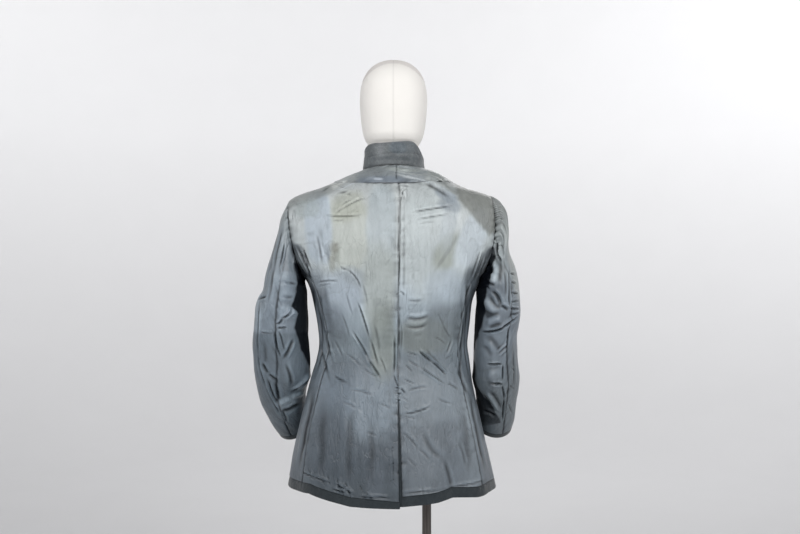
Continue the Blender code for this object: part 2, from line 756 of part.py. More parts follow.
def armhole_shape(side, around):
    """Reach and forward of the armhole at places around it: 0 at the shoulder tip, 90 at the back."""
    line = armhole_outline(side)
    low, high = line.min(0), line.max(0)
    middle, half = (low + high) / 2, (high - low) / 2
    unit = (line - middle) / half
    angle = np.degrees(np.arctan2(-unit[:, 1], unit[:, 0])) % 360
    order = np.argsort(angle)
    angle, unit = angle[order], unit[order]
    angle, keep = np.unique(angle, return_index=True)
    unit = unit[keep]
    read = [np.interp(np.mod(around, 360), angle, unit[:, axis], period=360) for axis in (0, 1)]
    return np.stack(read, -1), middle, half


def ring_directions(around):
    """Outwards and forwards shares of places round a sleeve."""
    return np.stack([np.cos(np.radians(around)), -np.sin(np.radians(around))], -1)


def sleeve_rings(side, around, inset):
    """Rings of points of a sleeve, from the armhole to the cuff, drawn in by inset."""
    hole = ARMHOLE[side]
    whole_reach = hole["rise"] / math.cos(math.radians(hole["tilt"]))
    start = (hole["tilt"], 0.0, whole_reach, 0.0, 1.0, ARMHOLE_TWIST[side])
    head = columns(HEAD_COLUMNS, (start, *HEAD_ROWS[side]))
    rings = []
    for row, lean in enumerate(np.radians(head["lean"])):
        twisted = around + head["twist"][row]
        shape, middle, half = armhole_shape(side, twisted)
        reach = head["inner"][row], head["outer"][row]
        if row == 0:
            centre, size, gap = middle, half, SEAM_GAP / 2
        else:
            centre, gap = np.array([sum(reach) / 2, 0.0]), 0.0
            size = np.array([(reach[1] - reach[0]) / 2, head["half_depth"][row]])
        blend = head["armhole_shape"][row]
        flat = centre + (shape * blend + ring_directions(twisted) * (1 - blend)) * (size - inset)
        out = flat[:, 0] * math.sin(lean) + gap * math.cos(lean)
        out = out + blend * armhole_bow(side, flat[:, 0] / reach[1])
        up = flat[:, 0] * math.cos(lean) - gap * math.sin(lean)
        rings.append(np.stack([side * (hole["across"] + out), flat[:, 1], hole["height"] + up], -1))
    middle_across = side * (hole["across"] + sum(reach) / 2)
    start = (
        hole["height"], middle_across, 0.0, (reach[1] - reach[0]) / 2, head["half_depth"][-1], head["twist"][-1]
    )
    arm = columns(SLEEVE_COLUMNS, (start, *SLEEVE_ROWS[side]))
    down = -arm["height"]
    reads = np.linspace(down[0], down[-1], SLEEVE_ROWS_DOWN)
    line = {name: smooth(down, arm[name], reads) for name in SLEEVE_COLUMNS}
    middle_line = np.stack([line["across"], line["forward"], line["height"]], -1)
    heading = np.gradient(middle_line, axis=0)
    heading[0] = (0, 0, -1)
    heading /= np.linalg.norm(heading, axis=1, keepdims=True)
    for row in range(1, len(reads)):
        sideways = np.array([side, 0.0, 0.0])
        sideways = sideways - heading[row] * sideways.dot(heading[row])
        sideways /= np.linalg.norm(sideways)
        forward = np.cross(heading[row], sideways)
        forward *= np.sign(forward[1])
        circle = ring_directions(around + line["twist"][row])
        width, depth = line["half_width"][row] - inset, line["half_depth"][row] - inset
        rings.append(middle_line[row] + circle[:, :1] * width * sideways + circle[:, 1:] * depth * forward)
    return np.array(rings)


def make_sleeve(side):
    label = LABEL[side]
    for piece, (low, high) in SLEEVE_TURNS.items():
        around = np.linspace(low + SLEEVE_SEAM_TURN, high - SLEEVE_SEAM_TURN, SLEEVE_ACROSS[piece])
        outer, inner = sleeve_rings(side, around, 0.0), sleeve_rings(side, around, WALL)
        outer[-1], inner[-1] = shortened(outer), shortened(inner)
        wall(f"{piece}_sleeve_{label}", outer, inner, "satin")
    around = np.arange(0, 360, CUFF_STEP)
    outer, inner = sleeve_rings(side, around, 0.0), sleeve_rings(side, around, WALL)
    strips = [np.array([shortened(grid, SEAM_GAP), grid[-1]]) for grid in (outer, inner)]
    wall(f"cuff_edge_{label}", strips[0], strips[1], "wool", around=True)


def shortened(rings, less=0.0):
    """The last ring moved back up the sleeve by the width of the cuff's edge."""
    step = (rings[-2] - rings[-1]).mean(0)
    return rings[-1] + step / np.linalg.norm(step) * (CUFF_BAND - less)


def closed_loft(name, rings, finish):
    """A closed body through rings of points, with flat ends."""
    rows, around = rings.shape[:2]
    faces = [
        [row * around + column, row * around + (column + 1) % around,
         (row + 1) * around + (column + 1) % around, (row + 1) * around + column]
        for row in range(rows - 1)
        for column in range(around)
    ]
    faces.append(list(range(around))[::-1])
    faces.append([(rows - 1) * around + column for column in range(around)])
    return add_object(name, rings.reshape(-1, 3), faces, finish)


def form_ring(row, turn):
    size = dict(zip(FORM_COLUMNS, row))
    across, forward = squared(turn, size["half"], size["half"], size["back"], size["front"])
    cosine = np.cos(np.radians(turn))
    end = np.where(cosine > 0, size["back_height"], size["front_height"])
    return np.stack([across, forward, size["side_height"] + (end - size["side_height"]) * cosine**2], -1)


def make_form():
    signed = signed_turn(np.arange(0, 360, FORM_STEP))
    rings = [form_ring(row, signed) for row in FORM_LOW_ROWS]
    for ring in FORM_SHOULDER_RINGS:
        drop = -(WALL + REST_GAP) * np.ones_like(signed)
        rings.append(cloth_point(signed, np.full_like(signed, ring_climb(ring)), drop))
    rings += [form_ring(row, signed) for row in FORM_NECK_ROWS]
    torso = closed_loft("form_torso", np.array(rings), "form_cloth")
    cut_pole_hole(torso)

    rings = []
    for height, half, back, front in EGG_ROWS:
        across, forward = squared(signed, half, half, back, front)
        forward = forward + HEAD_MIDDLE_FORWARD * ease((height - EGG_ROWS[0][0]) / HEAD_SHIFT_OVER)
        rings.append(np.stack([across, forward, np.full_like(across, height)], -1))
    rings = np.array(rings)
    middle = np.array([[0.0, HEAD_MIDDLE_FORWARD, CROWN]])
    points = np.concatenate([rings.reshape(-1, 3), middle])
    rows, around = rings.shape[:2]
    faces = [list(range(around))[::-1]]
    for row in range(rows - 1):
        for column in range(around):
            after = (column + 1) % around
            faces.append([row * around + column, row * around + after,
                          (row + 1) * around + after, (row + 1) * around + column])
    top = (rows - 1) * around
    faces += [[top + column, top + (column + 1) % around, len(points) - 1] for column in range(around)]
    add_object("form_head", points, faces, "form_cloth")


def turned(profile, segments, across=0.0):
    """Rings of points about an upright axis, from pairs of radius and height."""
    angle = np.arange(segments) * 2 * math.pi / segments
    rings = [
        np.stack([across + radius * np.cos(angle), radius * np.sin(angle), np.full(segments, height)], -1)
        for radius, height in profile
    ]
    return np.array(rings)


def tube(name, radius, low, high):
    return closed_loft(name, turned(((radius, low), (radius, high)), ROUND_SEGMENTS, POLE_ACROSS), "pole_steel")


def cut_pole_hole(torso):
    floor = FORM_LOW_ROWS[0][0]
    roof = floor + POLE_INTO_FORM + SEAM_GAP
    cutter = tube("pole_hole_cutter", POLE_RADIUS + SEAM_GAP, floor - POLE_RADIUS, roof)
    cutter.hide_render = True
    cutter.display_type = "WIRE"
    cut = torso.modifiers.new("Pole hole", "BOOLEAN")
    cut.operation = "DIFFERENCE"
    cut.solver = "EXACT"
    cut.object = cutter


def make_stand():
    inner, upper_edge = PLATE_RADIUS - PLATE_EDGE, PLATE_THICK - PLATE_EDGE
    profile = ((inner, 0.0), (PLATE_RADIUS, PLATE_EDGE), (PLATE_RADIUS, upper_edge), (inner, PLATE_THICK))
    closed_loft("base_plate", turned(profile, PLATE_SEGMENTS), "pole_steel")
    foot = PLATE_THICK + SEAM_GAP
    tube("pole", POLE_RADIUS, foot, FORM_LOW_ROWS[0][0] + POLE_INTO_FORM)
    make_socket(foot)


def make_socket(foot):
    """The collar round the pole's foot, a turned ring."""
    bore, top = POLE_RADIUS + SEAM_GAP, foot + SOCKET_HEIGHT
    profile = (
        (bore, foot),
        (SOCKET_RADIUS, foot),
        (SOCKET_RADIUS, top - SOCKET_EDGE),
        (SOCKET_RADIUS - SOCKET_EDGE, top),
        (bore, top),
    )
    points = turned(profile, ROUND_SEGMENTS, POLE_ACROSS)
    faces = []
    for row in range(len(profile)):
        low, high = row * ROUND_SEGMENTS, (row + 1) % len(profile) * ROUND_SEGMENTS
        for column in range(ROUND_SEGMENTS):
            beside = (column + 1) % ROUND_SEGMENTS
            faces.append([low + column, low + beside, high + beside, high + column])
    add_object("pole_socket", points.reshape(-1, 3), faces, "pole_steel")


def main():
    clear_scene()
    make_form()
    make_stand()
    make_yoke()
    make_collar()
    for side in (-1, 1):
        make_back(side)
        make_side(side)
        make_front_lining(side)
        make_facing(side)
        make_sleeve(side)
        make_hem(side)
    make_vent_underlap()


main()
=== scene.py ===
# %% [markdown]
# # An officer tunic, inside out, on a dress form
#
# The tunic hangs on a limbless form with its lining outside. What shows is old blue-grey satin, sewn
# together from panels, and a little dark wool: the stand collar, a narrow band along the hem, one edge
# of the back vent and the edges of the cuffs. The construction model holds the true sizes; this script
# gives every piece its real surface.
#
# First the frame is loaded.

# %% Load the frame
import math

import bpy
import numpy as np
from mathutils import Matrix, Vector


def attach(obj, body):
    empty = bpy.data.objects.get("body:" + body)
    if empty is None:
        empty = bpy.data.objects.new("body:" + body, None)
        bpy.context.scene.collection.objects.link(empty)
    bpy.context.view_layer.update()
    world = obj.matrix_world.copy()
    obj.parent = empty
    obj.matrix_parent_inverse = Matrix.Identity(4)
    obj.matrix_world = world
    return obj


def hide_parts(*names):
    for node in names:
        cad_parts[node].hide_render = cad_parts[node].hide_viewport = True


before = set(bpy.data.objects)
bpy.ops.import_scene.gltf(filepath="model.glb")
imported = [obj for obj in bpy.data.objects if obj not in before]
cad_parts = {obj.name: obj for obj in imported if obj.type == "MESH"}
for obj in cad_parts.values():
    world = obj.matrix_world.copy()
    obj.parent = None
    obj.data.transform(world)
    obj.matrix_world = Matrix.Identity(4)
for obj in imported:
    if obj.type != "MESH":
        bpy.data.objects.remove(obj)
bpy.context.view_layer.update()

# %% [markdown]
# # The studio
#
# The camera stands behind the figure at the height of its chest and looks level along +Y. A standard
# view transform keeps whites white, because the default one greys them.
#
# The backdrop is a single sheet: a round floor that curves up into a wall on every side, so that there
# is no edge behind the object from any angle. A turned profile does this with two rows of points.

# %% Camera
bpy.context.scene.view_settings.view_transform = "Standard"

CAMERA_ACROSS, CAMERA_BACK, CAMERA_HEIGHT = 0.0143, 2.2, 1.2446
LENS, SENSOR = 45, 36
camera_data = bpy.data.cameras.new("camera")
camera_data.lens = LENS
camera_data.sensor_width = SENSOR
camera = bpy.data.objects.new("camera", camera_data)
camera.location = (CAMERA_ACROSS, -CAMERA_BACK, CAMERA_HEIGHT)
camera.rotation_euler = (math.radians(90), 0, 0)
bpy.context.scene.collection.objects.link(camera)
bpy.context.scene.camera = camera
print("picture is", round(SENSOR / LENS * CAMERA_BACK, 2), "m wide at the figure")

# %% [markdown]
# ## A small language for materials
#
# A finish is a tree of nodes. Writing it as sums and products is shorter to read than adding nodes one
# by one, so `Wire` stands for one output of a node and overloads the arithmetic: every operator adds a
# Math node. `Finish.node` adds any other node: its settings first, then its sockets.

# %% Wire and Finish


class Wire:
    """One output of a shader node, which can be added to, multiplied and so on."""

    def __init__(self, finish, socket):
        self.finish, self.socket = finish, socket

    def maths(self, operation, first, second=0.0, clamp=False):
        settings = {"operation": operation, "use_clamp": clamp}
        return self.finish.node("ShaderNodeMath", settings, {0: first, 1: second})

    def __add__(self, other):
        return self.maths("ADD", self, other)

    def __sub__(self, other):
        return self.maths("SUBTRACT", self, other)

    def __rsub__(self, other):
        return self.maths("SUBTRACT", other, self)

    def __mul__(self, other):
        return self.maths("MULTIPLY", self, other)

    def __truediv__(self, other):
        return self.maths("DIVIDE", self, other)

    def __abs__(self):
        return self.maths("ABSOLUTE", self)

    __radd__, __rmul__ = __add__, __mul__

    def held(self):
        """The same number, kept between 0 and 1."""
        return self.maths("ADD", self, clamp=True)


class Finish:
    """A material built round one Principled shader."""

    def __init__(self, name, **constants):
        self.material = bpy.data.materials.new(name)
        self.material.use_nodes = True
        self.tree = self.material.node_tree
        self.shader = self.tree.nodes["Principled BSDF"]
        for socket, value in constants.items():
            self.shader.inputs[socket.replace("_", " ")].default_value = value

    def node(self, kind, settings=None, sockets=None, output=0):
        made = self.tree.nodes.new(kind)
        for name, value in (settings or {}).items():
            if name == "stops":
                ramp = made.color_ramp
                while len(ramp.elements) < len(value):
                    ramp.elements.new(0.5)
                for element, (place, level) in zip(ramp.elements, value):
                    element.position, element.color = place, (level, level, level, 1.0)
            else:
                setattr(made, name, value)
        for name, value in (sockets or {}).items():
            if isinstance(value, Wire):
                self.tree.links.new(value.socket, made.inputs[name])
            else:
                made.inputs[name].default_value = value
        return Wire(self, made.outputs[output])

    def link(self, wire, name):
        self.tree.links.new(wire.socket, self.shader.inputs[name])

    def position(self):
        return self.node("ShaderNodeTexCoord", output="Object")

    def noise(self, vector, scale=1.0, detail=2.0, roughness=0.5, distortion=0.0):
        sockets = {"Vector": vector, "Scale": scale, "Detail": detail, "Roughness": roughness}
        return self.node("ShaderNodeTexNoise", {}, {**sockets, "Distortion": distortion})

    def grain(self, across, up, *detail):
        """Noise with this many bumps in a metre across, and this many up."""
        sizes = {0: self.position(), 1: (across, across, up)}
        return self.noise(self.node("ShaderNodeVectorMath", {"operation": "MULTIPLY"}, sizes), 1.0, *detail)

    def shaded(self, tint, light):
        """A colour, multiplied by one number."""
        grey = self.node("ShaderNodeCombineColor", {}, {0: light, 1: light, 2: light})
        return self.mix(1.0, tint, grey, "MULTIPLY")

    def painted(self):
        """The colour kept on the mesh."""
        return self.node("ShaderNodeVertexColor", {"layer_name": "tint"})

    def mix(self, share, first, second, blend="MIX"):
        settings = {"data_type": "RGBA", "blend_type": blend}
        return self.node("ShaderNodeMix", settings, {0: share, 6: first, 7: second}, output=2)

    def ramp(self, value, *stops):
        return self.node("ShaderNodeValToRGB", {"stops": stops}, {"Fac": value})

    def bump(self, height, distance, strength):
        return self.node("ShaderNodeBump", {}, {"Height": height, "Distance": distance, "Strength": strength})


def paint(red, green, blue):
    """A colour as a paint maker gives it, from 0 to 255, turned into the light that it reflects."""
    shown = np.array([red, green, blue]) / 255
    light = np.where(shown <= 0.04045, shown / 12.92, ((shown + 0.055) / 1.055) ** 2.4)
    return (*[float(value) for value in light], 1.0)


def dye(colour):
    """The same as an array without its opacity, to work out colours on a mesh."""
    return np.array(paint(*colour)[:3])


print("white reflects", paint(255, 255, 255)[0])

# %% [markdown]
# ## Backdrop and lights
#
# Two soft lights stand high on both sides behind the camera, as in a shop studio. A third one before the
# figure's front keeps it from going black, strips catch its sides, and two lights wash the wall. The pale
# world fills the shadows.

# %% Backdrop
FLOOR_RADIUS, COVE_RADIUS, WALL_HEIGHT = 4.2, 2.6, 7.0
FLOOR_DROP = 0.0005
FLOOR_GREY, WALL_GREY = (0.60, 0.60, 0.61, 1), (0.84, 0.84, 0.85, 1)


def turned_mesh(name, profile, segments):
    """A mesh turned about the upright axis, from pairs of radius and height."""
    angles = np.arange(segments) * 2 * math.pi / segments
    points = [
        (radius * math.cos(angle), radius * math.sin(angle), height)
        for radius, height in profile
        for angle in angles
    ]
    faces = [
        (row * segments + at, row * segments + (at + 1) % segments,
         (row + 1) * segments + (at + 1) % segments, (row + 1) * segments + at)
        for row in range(len(profile) - 1)
        for at in range(segments)
    ]
    mesh = bpy.data.meshes.new(name)
    mesh.from_pydata(points, [], faces)
    mesh.shade_smooth()
    made = bpy.data.objects.new(name, mesh)
    bpy.context.scene.collection.objects.link(made)
    return made


cove = [
    (FLOOR_RADIUS + COVE_RADIUS * math.sin(angle), COVE_RADIUS * (1 - math.cos(angle)) - FLOOR_DROP)
    for angle in np.linspace(0, math.pi / 2, 24)
]
rim = FLOOR_RADIUS + COVE_RADIUS
profile = [(0.001, -FLOOR_DROP), (FLOOR_RADIUS * 0.5, -FLOOR_DROP), *cove, (rim, WALL_HEIGHT)]
backdrop = turned_mesh("studio_backdrop", profile, 96)
studio = Finish("studio_paper", Roughness=0.9, Emission_Color=(1.0, 1.0, 1.0, 1.0), Emission_Strength=0.07)
rise = studio.node("ShaderNodeSeparateXYZ", {}, {0: studio.position()}, output=2)
tone = studio.noise(studio.position(), 3.0, 2.0) * 0.1 + studio.ramp(rise / 2.4, (0.0, 0.0), (1.0, 0.9))
studio.link(studio.mix(tone, FLOOR_GREY, WALL_GREY), "Base Color")
backdrop.data.materials.append(studio.material)
print("floor is", 2 * FLOOR_RADIUS, "m across")

# %% Lights
AIR_STRENGTH = 0.23
world = bpy.data.worlds.new("studio_air")
world.use_nodes = True
world.node_tree.nodes["Background"].inputs["Color"].default_value = (1.0, 1.0, 1.0, 1.0)
world.node_tree.nodes["Background"].inputs["Strength"].default_value = AIR_STRENGTH
bpy.context.scene.world = world

LIGHT_COLUMNS = ("name", "place", "aim", "width", "watts")
LIGHTS = (
    ("left_softbox", (-1.2, -3.1, 2.3), (0.0, 0.0, 1.15), 0.9, 38),
    ("right_softbox", (1.5, -2.9, 2.4), (0.0, 0.0, 1.15), 0.9, 41),
    ("front_softbox", (0.6, 3.2, 3.4), (0.0, 0.0, 1.15), 2.2, 26),
    ("left_strip_light", (-3.2, -0.5, 2.0), (0.0, 0.0, 1.3), 1.0, 9),
    ("right_strip_light", (3.2, -0.5, 2.0), (0.0, 0.0, 1.3), 1.0, 9),
    ("left_wall_light", (-3.0, 2.6, 3.8), (-0.4, 6.8, 3.8), 2.0, 62),
    ("right_wall_light", (3.0, 2.6, 3.8), (1.2, 6.8, 3.3), 2.0, 94),
)
for row in LIGHTS:
    row = dict(zip(LIGHT_COLUMNS, row))
    lamp = bpy.data.lights.new(row["name"], "AREA")
    lamp.shape = "SQUARE"
    lamp.size = row["width"]
    lamp.energy = row["watts"]
    holder = bpy.data.objects.new(row["name"], lamp)
    holder.location = row["place"]
    heading = Vector(row["aim"]) - Vector(row["place"])
    holder.rotation_euler = heading.to_track_quat("-Z", "Y").to_euler()
    holder.visible_camera = False
    bpy.context.scene.collection.objects.link(holder)
print(len(LIGHTS), "lights")

# %% [markdown]
# # The cloth as a ring surface
#
# The body of the tunic is one surface of rings. A ring is named by its climb, the length along the side
# of the figure from the hem, and a point on it by its turn: 0 degrees at the back, 90 at the right side,
# 180 in front. Panels are stretches of that surface between seams. These are the same tables that the
# construction model is made from, because the fine cloth has to lie where its solids lie.

# %% Tables of the body
# a side is the sign of its X
LABEL = {-1: "left", 1: "right"}
SQUARENESS = 2.2
BACK_SEAM_TURN = 3.5
MIDDLE_FRONT = -0.008
LAP, LAP_AT_HEM, LAP_LOST_AT_NECK, LAP_CLEAR, LAP_LIFT = 0.018, 1.1, 0.5, 0.014, 0.0034
FACING_WIDTH, FACING_MOST = 0.085, 0.62
FRONT_MIDDLE_TURN = 182.0
VENT_TOP, VENT_SHOW, VENT_UNDERLAP = 0.203, 0.005, 0.022
YOKE_BACK_RING, YOKE_SHOULDER_RING = 14.6, 16.3

BODY_COLUMNS = ("side_height", "left", "right", "back_height", "back_depth", "front_height", "front_depth")
BODY_ROWS = (
    (0.764, 0.2300, 0.2233, 0.752, 0.140, 0.748, 0.141),
    (0.860, 0.2145, 0.2013, 0.857, 0.132, 0.857, 0.136),
    (0.930, 0.1985, 0.1860, 0.930, 0.122, 0.930, 0.130),
    (1.005, 0.1793, 0.1705, 1.005, 0.110, 1.005, 0.121),
    (1.044, 0.1670, 0.1640, 1.044, 0.104, 1.044, 0.116),
    (1.071, 0.1620, 0.1600, 1.071, 0.102, 1.071, 0.114),
    (1.110, 0.1639, 0.1635, 1.110, 0.105, 1.110, 0.116),
    (1.163, 0.1745, 0.1715, 1.163, 0.114, 1.163, 0.122),
    (1.205, 0.1860, 0.1810, 1.205, 0.120, 1.205, 0.127),
    (1.250, 0.2170, 0.2120, 1.250, 0.123, 1.250, 0.128),
    (1.300, 0.2370, 0.2330, 1.300, 0.122, 1.300, 0.124),
    (1.345, 0.2455, 0.2430, 1.347, 0.116, 1.343, 0.116),
    (1.375, 0.2400, 0.2380, 1.380, 0.108, 1.368, 0.107),
    (1.390, 0.2280, 0.2270, 1.400, 0.101, 1.381, 0.100),
    (1.402, 0.2050, 0.2050, 1.414, 0.093, 1.392, 0.093),
    (1.414, 0.1670, 0.1660, 1.428, 0.083, 1.403, 0.085),
    (1.426, 0.1380, 0.1370, 1.440, 0.075, 1.410, 0.080),
    (1.440, 0.1080, 0.1080, 1.452, 0.066, 1.417, 0.074),
    (1.4545, 0.0680, 0.0700, 1.4655, 0.054, 1.424, 0.064),
)
HEM_COLUMNS = ("turn", "height", "band")
HEM_ROWS = (
    (-180, 0.748, 0.020),
    (-130, 0.756, 0.020),
    (-90, 0.767, 0.021),
    (-70, 0.767, 0.021),
    (-48, 0.769, 0.020),
    (-34, 0.757, 0.019),
    (-23, 0.749, 0.018),
    (-12, 0.7475, 0.017),
    (3.499, 0.7465, 0.013),
    (3.501, 0.7500, 0.019),
    (24, 0.757, 0.020),
    (34, 0.764, 0.020),
    (50, 0.761, 0.021),
    (65, 0.764, 0.021),
    (90, 0.761, 0.021),
    (130, 0.755, 0.020),
    (180, 0.748, 0.020),
)
FLUTE_COLUMNS = ("turn", "half_width", "depth", "top")
FLUTE_ROWS = (
    (-128, 16, 0.0050, 0.25),
    (-97, 13, 0.0035, 0.22),
    (-66, 12, -0.0045, 0.20),
    (-48, 11, 0.0040, 0.24),
    (-26, 12, -0.0030, 0.18),
    (20, 10, 0.0030, 0.14),
    (36, 9, -0.0055, 0.20),
    (52, 10, 0.0055, 0.26),
    (74, 12, -0.0035, 0.20),
    (104, 15, 0.0045, 0.24),
    (140, 15, -0.0040, 0.20),
)
SIDE_SEAM_COLUMNS = ("climb", "back_seam", "front_seam")
SIDE_SEAM_ROWS = (
    (-0.02, 56, 118),
    (0.20, 57, 117),
    (0.32, 57, 116),
    (0.50, 65, 112),
    (0.70, 68, 112),
)
ARMHOLE = {
    -1: {"across": 0.187, "height": 1.195, "tilt": 12.0, "rise": 0.195, "bow": 0.010},
    1: {"across": 0.182, "height": 1.195, "tilt": 7.8, "rise": 0.207, "bow": 0.020},
}
print(len(BODY_ROWS), "rings from hem to neck")

# %% Rings and points


def columns(names, rows):
    """A table as one array for each of its columns."""
    return dict(zip(names, np.array(rows, float).T))


def smooth(knots, values, at):
    """A smooth curve through the values at the knots, read at the places given."""
    knots, values, at = (np.asarray(item, float) for item in (knots, values, at))
    slope = np.gradient(values, knots, axis=0)
    place = np.clip(np.searchsorted(knots, at, side="right") - 1, 0, len(knots) - 2)
    step = knots[place + 1] - knots[place]
    t = (at - knots[place]) / step
    if values.ndim > 1:
        extra = (1,) * (values.ndim - 1)
        step, t = step.reshape(step.shape + extra), t.reshape(t.shape + extra)
    first = (1 + 2 * t) * (1 - t) ** 2 * values[place] + t * (1 - t) ** 2 * step * slope[place]
    second = t * t * (3 - 2 * t) * values[place + 1] + t * t * (t - 1) * step * slope[place + 1]
    return first + second


def ease(t):
    """From 0 to 1 as t does, starting and ending softly."""
    t = np.clip(t, 0.0, 1.0)
    return t * t * (3 - 2 * t)


def bell(away, width=1.0):
    """1 in the middle, falling off on both sides: about a third is left one width away."""
    return np.exp(-((away / width) ** 2))


BODY = columns(BODY_COLUMNS, BODY_ROWS)
HEM = columns(HEM_COLUMNS, HEM_ROWS)
SEAMS = columns(SIDE_SEAM_COLUMNS, SIDE_SEAM_ROWS)
CLIMB = np.concatenate([[0.0], np.cumsum(np.hypot(np.diff(BODY["side_height"]), np.diff(BODY["right"])))])
NECK = CLIMB[-1]


def ring_climb(ring):
    """Climb of a ring of the table, or of a place between two of them."""
    return np.interp(ring, np.arange(len(CLIMB)), CLIMB)


def ring_size(name, climb):
    return smooth(CLIMB, BODY[name], climb)


def squared(turn, left, right, back, front):
    """Across and forward of a point on a rounded-square ring."""
    sine, cosine = np.sin(np.radians(turn)), np.cos(np.radians(turn))
    norm = (np.abs(sine) ** SQUARENESS + np.abs(cosine) ** SQUARENESS) ** (1 / SQUARENESS)
    return np.where(sine < 0, left, right) * sine / norm, -np.where(cosine > 0, back, front) * cosine / norm


def flute(turn, climb):
    """The soft waves of the skirt, which fade out upwards."""
    lift = np.zeros(np.broadcast(turn, climb).shape)
    for row in FLUTE_ROWS:
        at = dict(zip(FLUTE_COLUMNS, row))
        away = (np.mod(turn - at["turn"] + 180, 360) - 180) / at["half_width"]
        lift += at["depth"] * bell(away) * ease(1 - climb / at["top"])
    return lift


def bare_point(turn, climb):
    """A point of the ring surface, before any creases."""
    turn, climb = np.broadcast_arrays(np.asarray(turn, float), np.asarray(climb, float))
    size = {name: ring_size(name, climb) for name in BODY_COLUMNS}
    out = flute(turn, climb)
    across, forward = squared(
        turn, size["left"] + out, size["right"] + out, size["back_depth"] + out, size["front_depth"] + out
    )
    cosine = np.cos(np.radians(turn))
    end_height = np.where(cosine > 0, size["back_height"], size["front_height"])
    height = size["side_height"] + (end_height - size["side_height"]) * cosine**2
    return np.stack([across, forward, height], -1)


def cloth_point(turn, climb):
    """A point of the cloth's outer face, and the direction that it faces."""
    point = bare_point(turn, climb)
    by_turn = bare_point(np.asarray(turn) + 0.5, climb) - bare_point(np.asarray(turn) - 0.5, climb)
    low = np.maximum(np.asarray(climb, float) - 0.002, -0.03)
    high = np.minimum(np.asarray(climb, float) + 0.002, NECK)
    normal = np.cross(by_turn, bare_point(turn, high) - bare_point(turn, low))
    return point, normal / np.linalg.norm(normal, axis=-1, keepdims=True)


def turn_at(across, climb):
    """Turn of the front half where the ring passes this far to the side."""
    half = np.where(np.asarray(across) < 0, ring_size("left", climb), ring_size("right", climb))
    share = np.clip(np.abs(across) / half, 0, 0.999)
    depth = (1 - share**SQUARENESS) ** (1 / SQUARENESS)
    return np.sign(across) * (180 - np.degrees(np.arctan2(share, depth)))


def metre_turn(turn, climb):
    """Degrees of turn in one metre along the ring here."""
    step = np.linalg.norm(bare_point(turn + 0.5, climb) - bare_point(turn - 0.5, climb), axis=-1)
    return 1.0 / step


def hem_climb(turn, above=0.0):
    """Climb of the lower edge, or of a line this far above it."""
    turn = np.mod(np.asarray(turn, float) + 180, 360) - 180
    height = np.interp(turn, HEM["turn"], HEM["height"]) + above
    return height - bare_point(turn, np.zeros_like(turn))[..., 2]


def band_height(turn):
    return np.interp(np.mod(np.asarray(turn, float) + 180, 360) - 180, HEM["turn"], HEM["band"])


print("side of the tunic is", round(float(NECK), 3), "m from hem to neck")

# %% [markdown]
# ## Armholes and seams
#
# An armhole lies in a plane that leans out at the top. Where a ring passes through that plane is found by
# halving, once for a fine row of climbs, and read from there afterwards.

# %% Edges of the panels
HALVINGS = 40


def armhole_bow(side, share):
    """How far the armhole's edge bows out of its plane, a share of its height up."""
    return ARMHOLE[side]["bow"] * np.sin(math.pi * np.clip(share, 0, 1))


def past_armhole(side, turn, climb):
    """How far the ring surface lies outside the armhole, which stops at the underarm."""
    point = bare_point(side * turn, climb)
    hole = ARMHOLE[side]
    above = point[..., 2] - hole["height"]
    plane = hole["across"] + above * math.tan(math.radians(hole["tilt"]))
    return np.where(above > 0, side * point[..., 0] - plane - armhole_bow(side, above / hole["rise"]), -1.0)


def bisect(function, low, high, shape):
    """Where the function turns from negative to positive, for many places at once."""
    low, high = np.full(shape, float(low)), np.full(shape, float(high))
    for _ in range(HALVINGS):
        middle = (low + high) / 2
        inside = function(middle) < 0
        low, high = np.where(inside, middle, low), np.where(inside, high, middle)
    return low


def armhole_turn(side, climb, half):
    """Turn of the armhole's edge, 90 where the ring does not reach it."""
    climb = np.asarray(climb, float)
    start = 0.0 if half == "back" else 180.0
    share = bisect(lambda t: past_armhole(side, start + (90 - start) * t, climb), 0.0, 1.0, climb.shape)
    return start + (90 - start) * share


def armhole_ends(side):
    """Climbs of the lowest and the highest point of the armhole."""
    climbs = np.linspace(ring_climb(7), ring_climb(15), 4000)
    open_at = climbs[past_armhole(side, 90.0, climbs) > 0]
    return open_at[0], open_at[-1]


def side_seam(half, climb):
    """Turn of the seam before or behind a side panel."""
    return smooth(SEAMS["climb"], SEAMS[half + "_seam"], climb)


def junction(side, half):
    """Climb at which the side seam runs into the armhole."""
    low, high = armhole_ends(side)
    climbs = np.linspace(low, (low + high) / 2, 2000)
    edge, seam = armhole_turn(side, climbs, half), side_seam(half, climbs)
    return climbs[np.argmax(edge < seam if half == "back" else edge > seam)]


# climbs at which the outer edges are worked out once
READS = np.linspace(-0.02, NECK, 1200)
OUTER = {}
for side in (-1, 1):
    for half in ("back", "front"):
        met = junction(side, half)
        OUTER[side, half] = np.where(READS < met, side_seam(half, READS), armhole_turn(side, READS, half))


def outer_edge(side, half, climb):
    """Turn of a panel's outer edge: side seam, then armhole, then shoulder."""
    return side * np.interp(climb, READS, OUTER[side, half])


def vent_show(climb):
    """How much of the wool shows beside the vent."""
    return VENT_SHOW * np.clip(1 - climb / VENT_TOP, 0, 1) ** 0.7


def back_edge(side, climb):
    """Turn of a back panel's edge at the back seam and the vent."""
    turn = np.full_like(climb, BACK_SEAM_TURN)
    return turn + vent_show(climb) * metre_turn(turn, climb) if side > 0 else turn


def yoke_climb(turn):
    """Climb of the seam under the yoke, which rises towards the shoulders."""
    back, shoulder = ring_climb(YOKE_BACK_RING), ring_climb(YOKE_SHOULDER_RING)
    return back + (shoulder - back) * np.sin(np.radians(turn)) ** 2


